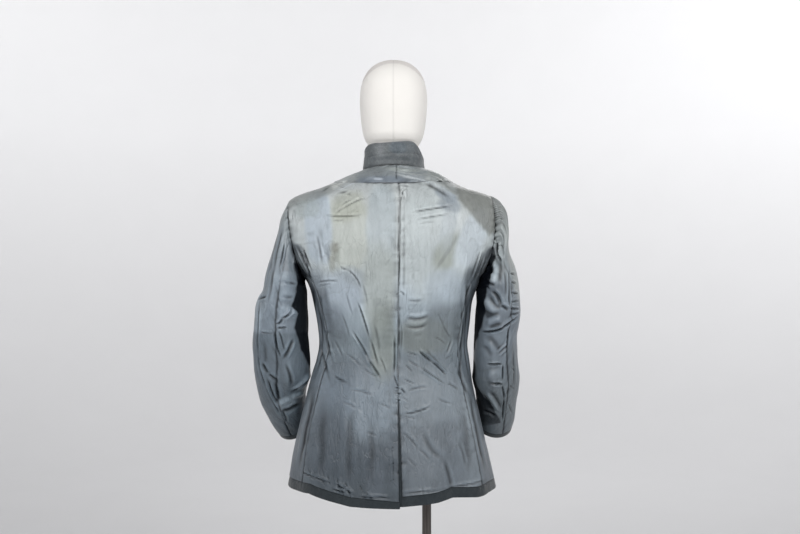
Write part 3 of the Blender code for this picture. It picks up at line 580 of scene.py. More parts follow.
def facing_turn(side, climb):
    """Turn of the seam between lining and facing."""
    half = ring_size("right" if side > 0 else "left", climb)
    return turn_at(MIDDLE_FRONT + side * np.minimum(FACING_WIDTH, FACING_MOST * half), climb)


def lap_turn(side, climb):
    """Turn of a front's own edge, past the middle."""
    turn = turn_at(MIDDLE_FRONT - side * LAP * (LAP_AT_HEM - LAP_LOST_AT_NECK * climb / NECK), climb)
    return np.where(turn * side < 0, turn + side * 360, turn)


def front_lift(side, turn, climb):
    """The upper front stands off over the lower one."""
    if side > 0:
        return np.zeros(turn.shape)
    across = bare_point(turn, climb)[..., 0]
    start, full = MIDDLE_FRONT - FACING_WIDTH, MIDDLE_FRONT - LAP - LAP_CLEAR
    return LAP_LIFT * ease((across - start) / (full - start))


print("armholes run from", [[round(float(end), 3) for end in armhole_ends(side)] for side in (-1, 1)])

# %% [markdown]
# ## Soft bumps and creases
#
# Old satin is never smooth. Two tools make it uneven. `noise` gives soft bumps that are the same on every
# run, because each corner of its lattice gets a number from a formula. `creases` reads a table: a row is
# one fold, a soft trough with a ridge on either side, from one place to another as seen square on.

# %% Noise


def corner_number(i, j, seed):
    """A number from 0 to 1 that looks random and is the same on every run."""
    mixed = np.sin(i * 127.1 + j * 311.7 + seed * 74.7) * 43758.5453
    return mixed - np.floor(mixed)


def noise(u, v, seed=0):
    """Soft bumps from -1 to 1, about one for each unit of u and v."""
    i, j = np.floor(u), np.floor(v)
    s, t = u - i, v - j
    s, t = (x * x * x * (x * (6 * x - 15) + 10) for x in (s, t))
    low = corner_number(i, j, seed) * (1 - s) + corner_number(i + 1, j, seed) * s
    high = corner_number(i, j + 1, seed) * (1 - s) + corner_number(i + 1, j + 1, seed) * s
    return 2 * (low * (1 - t) + high * t) - 1


def rough_noise(u, v, seed=0, layers=3):
    """Bumps with smaller bumps on them."""
    total = sum(noise(u * 2**n, v * 2**n, seed + 17 * n) / 2**n for n in range(layers))
    return total / (2 - 2 ** (1 - layers))


print("noise sample", round(float(noise(0.3, 0.7)), 3))

# %% Creases
MM = 0.001
FOLD_COLUMNS = ("u0", "v0", "u1", "v1", "bow", "half_width", "depth", "ridge", "lean")
FOLD_LENGTHS = 7
RIDGE_AWAY, FADED_ENDS = 1.6, 0.3
WAVER, WAVER_RUN = 0.12, 0.011
TURNING = 0.4
VIEWS = {"back": (1, -1), "front": (1, 1), "left": (0, -1), "right": (0, 1)}


def in_metres(names, row, lengths):
    """A row of a table by name. Its first columns are lengths, given in millimetres."""
    scaled = (*(value * MM for value in row[:lengths]), *row[lengths:])
    return dict(zip(names, scaled))


def creases(u, v, rows):
    """Lift of the folds in a table, at places u across and v up."""
    lift = np.zeros(u.shape)
    for number, row in enumerate(rows):
        fold = in_metres(FOLD_COLUMNS, row, FOLD_LENGTHS)
        du, dv = fold["u1"] - fold["u0"], fold["v1"] - fold["v0"]
        length = math.hypot(du, dv)
        along = ((u - fold["u0"]) * du + (v - fold["v0"]) * dv) / length**2
        aside = (-(u - fold["u0"]) * dv + (v - fold["v0"]) * du) / length
        aside = aside - fold["bow"] * 4 * along * (1 - along)
        aside = aside + WAVER * fold["half_width"] * np.sin(along * length / WAVER_RUN + number)
        away = aside / fold["half_width"]
        fade = ease(along / FADED_ENDS) * ease((1 - along) / FADED_ENDS)
        side_ridge = bell(away - RIDGE_AWAY) * (1 + fold["lean"])
        other_ridge = bell(away + RIDGE_AWAY) * (1 - fold["lean"])
        lift += fold["depth"] * fade * (fold["ridge"] * (side_ridge + other_ridge) - bell(away))
    return lift


def facing(normal, axis, sign):
    """1 where the cloth faces one way, fading to 0 where it turns side on."""
    return ease((sign * normal[..., axis] - 0.05) / TURNING)


def seen_from_behind(normal, limit=0.45):
    """1 on cloth that faces back or sideways, fading to 0 towards the front."""
    return ease((limit - normal[..., 1]) / TURNING)[..., None]


def fold_lift(point, normal, tables):
    """Lift from fold tables that are named after the side from which their folds are seen."""
    lift = np.zeros(point.shape[:-1])
    for name, rows in tables.items():
        axis, sign = VIEWS[name]
        lift += creases(point[..., 1 - axis], point[..., 2], rows) * facing(normal, axis, sign)
    return lift


print("views:", ", ".join(VIEWS))

# %% [markdown]
# The fold tables of the body. Every row is one crease of the lining: where it starts and ends (across,
# height), how far it bows, its half width and its depth, all in millimetres, then how high its ridges
# stand, and to which side it leans. A negative depth is a raised fold.

# %% Folds of the back
BODY_FOLDS = {
    "back": (
        # the tuck and the pleat lines down the middle
        (7, 1464, 7, 1420, 0, 1.3, 2.2, 0.35, 0.4), (13, 1418, 13, 1172, -1, 2.2, 1.2, 0.55, 0.3),
        (22, 1408, 21, 1150, 1, 2.6, 0.8, 0.5, -0.3), (5, 1400, 4, 1200, 0, 4, 0.4, 0.5, 0),
        (15, 1345, 13, 1215, -2, 1.7, 1.8, 0.6, 0.5), (3, 1112, 1, 1012, 1, 1.9, 2.5, 0.65, 0.5),
        (14, 1170, 15, 1020, -2, 2.5, 1.4, 0.6, -0.3),
        # the little pucker under the yoke
        (13, 1411, 22, 1383, 3, 2, 1.6, 0.7, 0.3), (28, 1411, 18, 1380, -5, 1.9, 1.9, 0.7, -0.3),
        (10, 1416, 34, 1414, 1, 2.4, 1.4, 0.6, 0),
        # bunching down the back seam
        (12, 1196, 24, 1184, 1, 2.4, 2.2, 0.8, 0), (6, 1187, 20, 1193, 1, 1.8, 1.2, 0.6, 0),
        (14, 992, 26, 980, 1, 2.2, 2, 0.8, 0), (1, 1020, 11, 995, -1, 1.9, 2.2, 0.7, 0.3),
        (6, 997, 19, 998, 1, 1.6, 1.8, 0.6, 0), (16, 975, 9, 962, 1, 1.8, 1.4, 0.6, 0),
        # creases that run down to the middle of the waist, left of the seam
        (-78, 1178, -50, 1090, 3, 2.2, 3, 0.8, 0.4), (-49, 1096, -31, 1034, 1, 2.2, 2.4, 0.8, 0.4),
        (-89, 1114, -50, 1046, 2, 2.2, 2.8, 0.9, -0.4), (-55, 1054, -24, 1008, 1, 2.2, 2.8, 0.9, -0.4),
        (-110, 1246, -96, 1240, -2, 2.4, 1.8, 0.6, 0), (-99, 1243, -66, 1196, 5, 2.2, 2.2, 0.6, 0.3),
        (-168, 1209, -112, 1216, 2, 2.6, 1.7, 0.6, 0.2), (-164, 1203, -126, 1211, 0, 2.2, 1.2, 0.6, 0.2),
        (-163, 1318, -151, 1249, 2, 3, 1.7, 0.4, 0.2), (-152, 1300, -140, 1262, 1, 3, 1, 0.5, 0.2),
        (-40, 1130, -28, 1060, 1, 3.4, 1.1, 0.6, 0),
        # and right of it
        (52, 1071, 83, 1043, -1, 2.2, 3.6, 1, 0.5), (77, 1049, 114, 1014, 1, 2.2, 3, 1, 0.5),
        (30, 1050, 56, 1034, -1, 2.2, 1.4, 0.7, -0.4), (52, 1037, 113, 994, 1, 2, 1.8, 0.9, -0.4),
        (68, 1074, 100, 1040, -2, 2.2, 1.3, 0.6, 0), (108, 1048, 126, 1058, 1, 2, 1.2, 0.6, 0),
        (26, 1176, 60, 1172, -4, 7, 0.5, 0.8, 0), (27, 1178, 64, 1176, -3, 3.4, 1.2, 0.9, 0.3),
        (24, 1140, 78, 1146, -7, 4.2, 2, 0.9, 0.3), (24, 1122, 74, 1128, -7, 4, 2, 0.9, 0.3),
        (40, 1104, 62, 1107, -3, 5, 0.6, 0.8, 0), (123, 1092, 111, 1060, 2, 2.4, 1.6, 0.8, 0.3),
        (17, 1136, 16, 1058, 1, 1.6, 1.8, 0.7, 0.3), (3, 993, 15, 992, 0, 1.5, 1.8, 0.8, 0),
        (5, 981, 21, 978, 1, 1.5, 1.8, 0.8, 0), (3, 968, 18, 966, 0, 1.5, 1.8, 0.8, 0),
        (18, 974, 32, 962, 1, 1.6, 1.4, 0.8, 0),
        # small ones between the large
        (-110, 1150, -92, 1092, 2, 2.2, 1.2, 0.6, 0.2), (-98, 1196, -84, 1140, -2, 2.2, 1.2, 0.6, 0),
        (-66, 1215, -54, 1162, 2, 2.2, 1.1, 0.6, 0.2), (-30, 1060, -14, 1020, 1, 1.8, 1.6, 0.7, 0.3),
        (-66, 1034, -26, 1012, -2, 2, 1.3, 0.6, 0.2), (-100, 1062, -66, 1034, 2, 2.2, 1.2, 0.6, 0),
        (-128, 1092, -106, 1050, 2, 2.4, 1.3, 0.6, 0), (26, 1066, 52, 1058, 1, 1.8, 1.5, 0.7, 0.3),
        (24, 1040, 40, 1024, 1, 1.8, 1.6, 0.7, 0.3), (20, 1012, 46, 1000, -1, 1.8, 1.4, 0.7, 0),
        (84, 1098, 112, 1080, 2, 2.2, 1.2, 0.6, 0.2), (104, 1126, 124, 1092, -2, 2.2, 1.3, 0.6, 0),
        (92, 1150, 106, 1120, 1, 2.2, 1, 0.6, 0), (112, 1000, 140, 982, 2, 2.4, 1.3, 0.6, 0),
        (30, 986, 74, 992, 3, 2.2, 1.3, 0.6, 0.2), (90, 972, 128, 956, -3, 2.4, 1.2, 0.6, 0),
        (-92, 986, -40, 976, 3, 2.4, 1.2, 0.6, 0), (-110, 962, -74, 948, 2, 2.4, 1, 0.6, 0),
        (-60, 902, -30, 892, 2, 2.4, 0.9, 0.6, 0), (50, 870, 78, 842, 2, 2.6, 1.2, 0.6, 0),
        (30, 852, 50, 830, -1, 2.4, 1.1, 0.6, 0), (136, 880, 152, 824, 2, 3, 1.4, 0.6, 0),
        # the flap at the yoke's left end
        (-152, 1402, -130, 1423, 1, 1.8, 2, 0.5, 0.6), (-131, 1424, -98, 1408, 1, 1.8, 2, 0.5, -0.6),
        # puckers in the shade under the armholes
        (-213, 1294, -178, 1222, 1, 1.8, -2, 0.9, 0), (-202, 1294, -174, 1228, 1, 1.8, -2, 0.9, 0),
        (-194, 1290, -182, 1248, -1, 1.6, -1.8, 0.9, 0), (-206, 1272, -186, 1280, 0, 1.3, 1.4, 0.8, 0),
        (-196, 1252, -178, 1259, 0, 1.3, 1.4, 0.8, 0), (169, 1212, 189, 1282, 1, 1.8, -2.2, 0.9, 0),
        (177, 1212, 197, 1272, -1, 1.8, -2, 0.9, 0),
        # the fold where the lining is turned up above the wool
        (-205, 813, -122, 791, 0, 2, 2.2, 0.8, 0.6), (-126, 794, -80, 769, 3, 2.2, 3, 0.9, 0.5),
        (-130, 784, -88, 778, -3, 2, 2.2, 0.9, 0.3), (-114, 793, -102, 764, 2, 2, 2.2, 0.9, 0),
        (-96, 786, -88, 762, 1, 1.8, 1.8, 0.9, 0), (-152, 800, -138, 785, 1, 1.8, 1.6, 0.8, 0),
        (-78, 769, -2, 767, 1, 2, 2, 0.8, 0.6), (-62, 780, -36, 758, 2, 2, 1.6, 0.8, 0),
        # the puckered left edge of the vent
        (-3, 886, 2, 790, 1, 1.6, 1, 0.8, 0), (-8, 868, 4, 872, 0, 1.3, 1.3, 0.8, 0),
        (-6, 850, 5, 853, 0, 1.3, 1.2, 0.8, 0), (-8, 836, 4, 840, 0, 1.3, 1.4, 0.8, 0),
        (-5, 818, 5, 820, 0, 1.3, 1.2, 0.8, 0), (-7, 803, 4, 807, 0, 1.3, 1.3, 0.8, 0),
        (4, 778, 108, 783, 0, 2.2, 1.6, 0.6, 0.7), (90, 782, 206, 793, 0, 2.2, 1.6, 0.6, 0.7),
        (-180, 822, -172, 800, 0, 2, 1.2, 0.7, 0), (-140, 812, -132, 788, 1, 2, 1.4, 0.7, 0),
        (-70, 796, -62, 776, 0, 2, 1.2, 0.7, 0), (60, 792, 64, 772, 0, 2, 1.2, 0.7, 0),
        # across the shoulder blades
        (33, 1359, 132, 1376, -1, 2.4, 1.9, 0.65, 0.4), (44, 1344, 122, 1358, -1, 2.2, 1.4, 0.6, 0.4),
        (52, 1335, 90, 1340, 0, 2.2, 0.8, 0.6, 0), (-125, 1352, -52, 1391, 6, 2.6, 1.9, 0.7, 0.3),
        (-116, 1362, -78, 1388, 5, 2.4, 1.8, 0.7, -0.3), (-150, 1357, -58, 1356, -6, 2.4, 1.4, 0.6, 0.3),
        (-128, 1345, -100, 1346, -4, 2.2, 1.2, 0.6, 0), (-126, 1405, -86, 1393, 4, 2.6, 1.8, 0.6, 0),
        (-146, 1300, -134, 1250, 2, 4, 1.3, 0.6, 0.2), (-156, 1330, -150, 1270, 1, 5, 0.8, 0.5, 0),
        # the ridge that goes on from the yoke's edge
        (60, 1430, 138, 1386, 6, 4.2, -1.8, 0.2, 0), (56, 1422, 120, 1386, 7, 4, 1.3, 0.3, 0),
        # the skirt
        (-128, 1017, -96, 1002, -2, 2.5, 2.1, 0.7, 0.4), (18, 940, 82, 955, -4, 2.2, 2, 0.8, 0.3),
        (18, 903, 53, 865, 3, 2.2, 1.8, 0.8, 0.3), (20, 936, 50, 930, -2, 2.2, 1.1, 0.6, 0),
        (60, 905, 107, 840, -6, 5.5, 1.3, 0.8, 0.3), (105, 846, 121, 772, 4, 4.5, 1.7, 0.8, 0.3),
        (-118, 808, -112, 776, 1, 2.4, 1.8, 0.7, 0), (-100, 800, -92, 778, -1, 2.2, 1.6, 0.7, 0),
        (-30, 962, -4, 948, 1, 2.4, 1.2, 0.6, 0), (-150, 950, -152, 800, 1, 10, 1.2, 0.5, 0),
        (-85, 960, -92, 790, -2, 9, 1, 0.5, 0), (-45, 930, -46, 790, 1, 8, 1, 0.5, 0),
        (150, 960, 160, 800, 1, 9, 1.2, 0.5, 0),
        # beside the side seams
        (-172, 1215, -128, 985, -12, 3.4, 2.2, 0.7, 0.3), (-156, 1200, -120, 1020, -10, 3, 1.6, 0.6, 0.3),
        (158, 1230, 132, 1030, 8, 3.2, 2.2, 0.7, -0.3), (146, 1190, 138, 1000, 6, 3, 1.6, 0.6, -0.3),
        (134, 1040, 164, 965, -2, 3.2, 1.7, 0.6, 0.3),
    ),
    "front": (
        (110, 1180, 60, 1060, 4, 3, 2.4, 0.7, 0.3), (100, 1130, 62, 1040, -3, 2.6, 2, 0.65, -0.3),
        (-120, 1170, -78, 1050, -4, 3, 2.4, 0.7, 0.3), (-104, 1120, -80, 1030, 3, 2.6, 2, 0.65, -0.3),
        (80, 1345, 150, 1330, 3, 2.6, 1.8, 0.6, 0.3), (-150, 1350, -85, 1338, -3, 2.6, 1.8, 0.6, 0.3),
        (-160, 1300, -146, 1230, 3, 4, 1.4, 0.6, 0), (160, 1310, 142, 1220, 3, 4, 1.4, 0.6, 0),
        (95, 1046, 150, 1020, -2, 2.6, 2, 0.7, 0.3), (-150, 1030, -98, 1012, 2, 2.6, 2, 0.7, 0.3),
        (110, 960, 122, 790, 3, 9, 1.6, 0.6, 0), (160, 950, 176, 800, 2, 9, 1.4, 0.6, 0),
        (-115, 950, -128, 790, 3, 9, 1.6, 0.6, 0), (-160, 940, -180, 800, 2, 9, 1.4, 0.6, 0),
        (20, 1200, 26, 1090, 3, 7, 1, 0.5, 0), (-55, 1120, -40, 990, 3, 7, 1, 0.5, 0),
    ),
    "left": (
        (-52, 1190, -40, 1000, 6, 4, 2.6, 0.7, 0.2), (-20, 1170, -10, 980, -5, 5, 2.4, 0.7, 0),
        (22, 1180, 30, 1000, 5, 4.5, 2.4, 0.7, -0.2), (-50, 990, -60, 800, -5, 8, 2.2, 0.6, 0),
        (0, 960, 4, 790, 4, 9, 2.2, 0.6, 0), (50, 980, 62, 800, 4, 8, 2, 0.6, 0),
    ),
    "right": (
        (-50, 1195, -36, 990, 6, 4, 2.6, 0.7, 0.2), (-14, 1180, -8, 985, -4, 5, 2.4, 0.7, 0),
        (28, 1170, 26, 990, 5, 4.5, 2.2, 0.7, -0.2), (-46, 985, -58, 800, -4, 8, 2.2, 0.6, 0),
        (6, 970, 0, 795, 5, 9, 2, 0.6, 0), (56, 960, 66, 805, 3, 8, 2, 0.6, 0),
    ),
}
print({name: len(rows) for name, rows in BODY_FOLDS.items()}, "folds on the body")

# %% [markdown]
# ## Colour of the lining
#
# Age has faded the satin unevenly: pale and yellowish over the shoulder blades, blue where it was
# covered. Its colour also runs from pale at the top to dark and grey below the waist, partly from that
# fading and partly as painted highlight from the lights above and painted shade lower down. The colour
# of each point is worked out once and kept on the mesh as an attribute. It starts from a gradient by
# height, then soft-edged patches are laid over it, some of them painted shade under the arms and painted
# highlights along ridges, and the troughs of the folds get painted shade and their ridges a painted
# highlight.

# %% Gradient and patches
PATCH_COLUMNS = ("u", "v", "half_across", "half_up", "tilt", "softness", "strength", "colour")
PATCH_LENGTHS = 4
PATCH_POWER = 2.6


def gradient(height, stops):
    """A colour for each height, from stops of height and colour."""
    levels, colours = [stop[0] for stop in stops], np.array([dye(stop[1]) for stop in stops])
    return np.stack([np.interp(height, levels, colours[:, channel]) for channel in range(3)], -1)


def patches(colour, u, v, rows):
    """Lays soft patches of other colours over a colour, in the order of the table."""
    for number, row in enumerate(rows):
        patch = in_metres(PATCH_COLUMNS, row, PATCH_LENGTHS)
        turn = math.radians(patch["tilt"])
        du, dv = u - patch["u"], v - patch["v"]
        x = (du * math.cos(turn) + dv * math.sin(turn)) / patch["half_across"]
        y = (-du * math.sin(turn) + dv * math.cos(turn)) / patch["half_up"]
        edge = (np.abs(x) ** PATCH_POWER + np.abs(y) ** PATCH_POWER) ** (1 / PATCH_POWER)
        edge = edge + 0.10 * rough_noise(u / 0.030, v / 0.060, number)
        edge = edge + 0.04 * noise(u / 0.006, v / 0.02, number)
        share = ease((1 - edge) / patch["softness"] + 0.5) * patch["strength"]
        colour = colour + (dye(patch["colour"]) - colour) * share[..., None]
    return colour


def corner_patches(colour, u, v, rows):
    """Lays patches with straight sides over a colour. Their corners go anticlockwise."""
    for number, (corners, softness, strength, shade) in enumerate(rows):
        share = np.full(u.shape, np.inf)
        corners = [(across * MM, up * MM) for across, up in corners]
        for (u0, v0), (u1, v1) in zip(corners, corners[1:] + corners[:1]):
            inside = ((u1 - u0) * (v - v0) - (v1 - v0) * (u - u0)) / math.hypot(u1 - u0, v1 - v0)
            share = np.minimum(share, inside)
        share = share + 0.0015 * noise(u / 0.006, v / 0.010, 50 + number)
        share = ease(share / (softness * MM) + 0.5) * strength
        colour = colour + (dye(shade) - colour) * share[..., None]
    return colour


print("patch columns:", ", ".join(PATCH_COLUMNS))

# %% Wear, and painted shade and highlight of folds
OLD_DYE = (0.95, 0.98, 0.985)
# size, weight and seed of each layer of wandering lines
LINES = ((0.034, 0.13, 71), (0.016, 0.10, 73))
# weight, width, length and seed of each layer of streaks
STREAKS = ((0.03, 0.0034, 0.06, 2), (0.04, 0.008, 0.15, 3), (0.06, 0.021, 0.30, 4))
# width of the painted crease shade, then strength, distance and width of the painted highlight beside it
DARK_WIDTH, PALE, PALE_BESIDE, PALE_WIDTH = 0.05, 0.45, 0.13, 0.06
# depth of a full trough, its painted shade, height of a full ridge, its painted highlight
TROUGH, TROUGH_SHADE, RIDGE, RIDGE_HIGHLIGHT = 0.0018, 0.74, 0.0022, 0.32


def wandering_lines(round_it, height):
    """Fine creases drawn only in colour: a line of painted shade with a painted highlight beside it."""
    drawn = np.zeros(np.shape(round_it))
    for size, weight, seed in LINES:
        field = rough_noise(round_it / size, height / (1.5 * size), seed)
        patch = ease(noise(round_it / 0.07, height / 0.09, seed + 1) + 0.45)
        line = bell(field, DARK_WIDTH) - PALE * bell(field - PALE_BESIDE, PALE_WIDTH)
        drawn = drawn - weight * patch * line
    return drawn


def wear_and_fold_shading(colour, point, lift):
    """Vertical streaks and blotches, painted shade in the troughs of folds and painted highlight on ridges.
    """
    across, forward, height = np.moveaxis(point, -1, 0)
    round_it = across + forward * 0.7
    streak = sum(
        weight * noise(round_it / width, height / length, seed) for weight, width, length, seed in STREAKS
    )
    blotch = 0.10 * rough_noise(across / 0.045, height / 0.05, 5)
    # painted shade in the troughs of folds, painted highlight on their ridges
    trough_shade = np.clip(-lift / TROUGH, 0, 1)
    ridge_highlight = np.clip(lift / RIDGE, 0, 1)
    wander = wandering_lines(round_it, height)
    factor = (1 + streak + blotch + wander) * (1 - TROUGH_SHADE * trough_shade) * (1 + RIDGE_HIGHLIGHT * ridge_highlight)
    return colour * factor[..., None] * np.array(OLD_DYE)


print("a trough keeps", round(1 - TROUGH_SHADE, 2), "of its colour")

# %% [markdown]
# The colours of the body. A stop is a height in metres and its colour. A patch has its middle, its half
# sizes in millimetres, its tilt in degrees, how soft its edge is, how strongly it covers, and its colour. A
# patch with corners has those, its softness in millimetres, its strength and its colour.

# %% Colours of the body
# paler towards the top, darker below the waist: partly faded cloth, partly painted highlight from above and
# painted shade lower down
BACK_STOPS = (
    (0.75, (64, 71, 78)), (0.782, (68, 76, 83)), (0.834, (68, 76, 84)), (0.885, (82, 90, 98)),
    (0.937, (99, 109, 119)), (0.989, (101, 111, 121)), (1.040, (97, 106, 114)), (1.092, (122, 132, 139)),
    (1.143, (150, 160, 168)), (1.195, (170, 179, 186)), (1.247, (183, 189, 191)), (1.40, (188, 191, 191)),
    (1.47, (150, 154, 158)),
)
ARMHOLE_SHADE = (
    (((-174, 1218), (-180, 1250), (-186, 1270), (-196, 1290), (-226, 1300), (-196, 1214)),
     9, 0.78, (80, 87, 94)),
    (((-176.5, 1222), (-181, 1249), (-186, 1268), (-193, 1284), (-188, 1262), (-181, 1222)),
     3, 0.85, (34, 39, 46)),
    (((-182, 1202), (-184, 1226), (-204, 1258), (-214, 1252), (-206, 1206)), 6, 0.92, (16, 19, 24)),
    (((160, 1210), (174, 1202), (199, 1284), (190, 1276)), 8, 0.6, (96, 103, 110)),
    (((172, 1206), (190, 1204), (222, 1284), (219, 1292), (193, 1278), (187, 1250)), 7, 0.75, (62, 68, 76)),
    (((168, 1206), (188, 1196), (208.5, 1200), (219, 1250), (221.5, 1290), (204, 1268), (188, 1224)),
     4, 0.96, (15, 18, 24)),
)
SHOULDER_CORNERS = (
    (((36, 1447), (50, 1432.5), (122, 1402), (136, 1390), (138, 1440), (80, 1458)),
     4, 0.62, (140, 143, 141)),
    (((128, 1445), (137, 1387), (165, 1354), (204, 1312), (222, 1320), (222, 1420)),
     10, 0.85, (118, 119, 114)),
    (((-126, 1408), (-100, 1427), (-141, 1424)), 4, 0.75, (206, 207, 204)),
)
BACK_PATCHES = (
    # painted highlights along the ridges that run on from the yoke's ends
    (86, 1416.5, 40, 2.2, -23, 0.7, 0.85, (208, 214, 220)),
    (-88, 1421.5, 22, 1.8, 25, 0.7, 0.7, (198, 203, 208)),
    # the skirt's right half has kept more of its blue
    (118, 850, 100, 165, 0, 0.5, 0.85, (105, 112, 119)), (80, 965, 105, 48, 0, 0.6, 0.8, (121, 129, 136)),
    (-190, 900, 30, 170, 0, 0.8, 0.5, (104, 112, 119)), (185, 900, 30, 170, 0, 0.8, 0.6, (124, 132, 139)),
    (60, 1026, 70, 26, 0, 0.8, 0.6, (118, 126, 132)), (-40, 955, 50, 65, 0, 0.8, 0.7, (122, 132, 141)),
    (-140, 870, 45, 80, 0, 0.8, 0.75, (68, 76, 84)),
    # faded, yellowish cloth left of the middle
    (-94, 1312, 45, 74, 0, 0.3, 0.9, (174, 177, 171)), (-24, 1330, 30, 90, 0, 0.4, 0.8, (172, 180, 184)),
    (-30, 1200, 36, 90, 0, 0.6, 0.8, (166, 171, 168)), (-22, 1090, 26, 80, 0, 0.6, 0.75, (129, 135, 131)),
    (-95, 1372, 40, 30, 20, 0.6, 0.6, (160, 161, 147)), (-120, 1275, 10, 18, 0, 0.8, 0.45, (140, 143, 136)),
    (-120, 1235, 12, 16, 0, 0.8, 0.4, (146, 150, 142)),
    # blue that was under the sleeve's turn; the two darkest patches, at the sides under the sleeves, are
    # painted shade
    (-158, 1330, 30, 80, 4, 0.35, 0.9, (174, 183, 192)),
    (-112, 1190, 50, 45, 20, 0.6, 0.6, (164, 173, 184)), (-158, 1150, 24, 85, 8, 0.5, 0.8, (84, 91, 99)),
    (-132, 1120, 34, 45, 10, 0.7, 0.7, (100, 108, 116)), (160, 1160, 24, 95, -8, 0.5, 0.8, (84, 91, 98)),
    (120, 1120, 60, 50, 30, 0.7, 0.6, (112, 120, 126)),
    (-82, 1225, 26, 18, -30, 0.5, 0.45, (140, 146, 150)),
    # right of the middle
    (60, 1300, 50, 110, 0, 0.5, 0.75, (180, 186, 187)),
    (116, 1278, 26, 44, -30, 0.55, 0.85, (154, 158, 151)),
    (111, 1272, 4, 42, -33, 0.9, 0.6, (128, 132, 128)),
    (166, 1305, 28, 70, -24, 0.5, 0.85, (190, 197, 203)),
    (118, 1340, 16, 60, -10, 0.7, 0.6, (164, 171, 176)), (110, 1200, 40, 40, 20, 0.6, 0.5, (160, 169, 178)),
    (64, 1100, 52, 36, 0, 0.6, 0.75, (116, 121, 119)),
    # beside the taupe cloth over the right shoulder
    (112, 1396, 26, 12, -30, 0.5, 0.8, (134, 142, 150)),
    (100, 1418, 40, 10, -20, 0.6, 0.6, (150, 154, 154)),
    (-200, 1395, 80, 18, 16, 0.4, 0.8, (142, 145, 144)),
    (-185, 1368, 30, 20, 10, 0.6, 0.6, (156, 164, 165)), (125, 820, 22, 50, 0, 0.7, 0.7, (92, 99, 106)),
    (118, 1374, 24, 12, -15, 0.6, 0.7, (132, 139, 146)), (-118, 1090, 32, 18, 0, 0.7, 0.6, (98, 106, 112)),
    (105, 1115, 36, 52, 0, 0.7, 0.5, (102, 109, 113)), (-36, 808, 18, 38, 0, 0.7, 0.6, (86, 94, 103)),
    (-160, 1215, 14, 30, 10, 0.7, 0.5, (168, 176, 184)), (166, 955, 18, 60, 0, 0.7, 0.7, (134, 142, 149)),
    # two spots below the yoke's left end
    (-124, 1284, 10, 11, 10, 0.95, 0.55, (122, 120, 110)),
    (-118, 1292, 4, 3, 20, 0.95, 0.5, (112, 112, 106)), (-128, 1254, 7, 17, 0, 0.95, 0.5, (132, 130, 118)),
)
FRONT_STOPS = (
    (0.75, (76, 84, 93)), (0.90, (90, 98, 106)), (1.05, (106, 114, 121)), (1.20, (140, 148, 155)),
    (1.40, (160, 166, 168)),
)
FRONT_PATCHES = (
    (120, 1300, 50, 90, 0, 0.6, 0.7, (158, 160, 152)), (-120, 1290, 55, 80, 0, 0.6, 0.7, (156, 165, 174)),
    (-130, 880, 70, 120, 0, 0.6, 0.7, (100, 109, 118)), (140, 1080, 60, 50, 20, 0.6, 0.6, (116, 120, 117)),
    (-170, 1100, 30, 60, 0, 0.6, 0.6, (110, 116, 116)),
)
# painted shade of the sides below the armholes, where the sleeves keep the light off
SIDE_SHADE_STOPS = (
    (0.75, (88, 95, 103)), (0.90, (102, 109, 116)), (1.05, (94, 101, 108)), (1.15, (60, 66, 73)),
    (1.24, (44, 49, 55)),
)
print(len(BACK_PATCHES), "patches on the back")

# %% Colour of the body


def body_colour(point, normal, lift):
    """The lining's colour on the body, from where it is, how it faces and how it is folded: painted shade
    where it faces sideways under the arms and at the armholes, painted shade and highlight in folds.
    """
    across, height = point[..., 0], point[..., 2]
    back = patches(gradient(height, BACK_STOPS), across, height, BACK_PATCHES)
    front = patches(gradient(height, FRONT_STOPS), across, height, FRONT_PATCHES)
    side = gradient(height, SIDE_SHADE_STOPS)
    # cloth that faces sideways takes the side stops, which are painted shade
    to_shaded_side = ease((np.abs(normal[..., 0]) - 0.70) / 0.25) * ease((1.40 - height) / 0.05)
    to_front = ease((normal[..., 1] + 0.25) / 0.5)[..., None]
    colour = back + (front - back) * to_front
    colour = colour + (side - colour) * to_shaded_side[..., None]
    shaded = corner_patches(colour, across, height, SHOULDER_CORNERS + ARMHOLE_SHADE)
    colour = colour + (shaded - colour) * seen_from_behind(normal)
    return wear_and_fold_shading(colour, point, lift)


# %% [markdown]
# ## Making cloth
#
# `cloth_mesh` turns two grids of points, the outer face and the inner face, into one closed shell. Free
# edges, such as a hem, get a rounded rim, because the cloth is folded over there. The arrays go straight
# into the mesh with `foreach_set`, which is much faster than building faces one by one.

# %% Shells
WALL = 0.0020
RIM_ANGLES = (60, 120)
INNER_SHADE = 0.5


def grid_normals(points, around):
    """Directions that the points of a grid face, out of the cloth."""
    if around:
        across = np.roll(points, -1, 1) - np.roll(points, 1, 1)
    else:
        across = np.gradient(points, axis=1)
    normal = np.cross(across, np.gradient(points, axis=0))
    return normal / np.maximum(np.linalg.norm(normal, axis=-1, keepdims=True), 1e-9)


def unit(vectors):
    return vectors / np.maximum(np.linalg.norm(vectors, axis=-1, keepdims=True), 1e-12)


def rim_loops(rows, across, around):
    """Indices of the points along each edge of a grid, and of their neighbours inside it."""
    at = np.arange(rows * across).reshape(rows, across)
    if around:
        return [(at[0], at[1]), (at[-1][::-1], at[-2][::-1])]
    edge = np.concatenate([at[0], at[1:, -1], at[-1, -2::-1], at[-2:0:-1, 0]])
    within = np.concatenate([at[1], at[1:, -2], at[-2, -2::-1], at[-2:0:-1, 1]])
    within[0], within[across - 1] = at[1, 1], at[1, -2]
    within[across + rows - 2], within[2 * across + rows - 3] = at[-2, -2], at[-2, 1]
    return [(edge, within)]


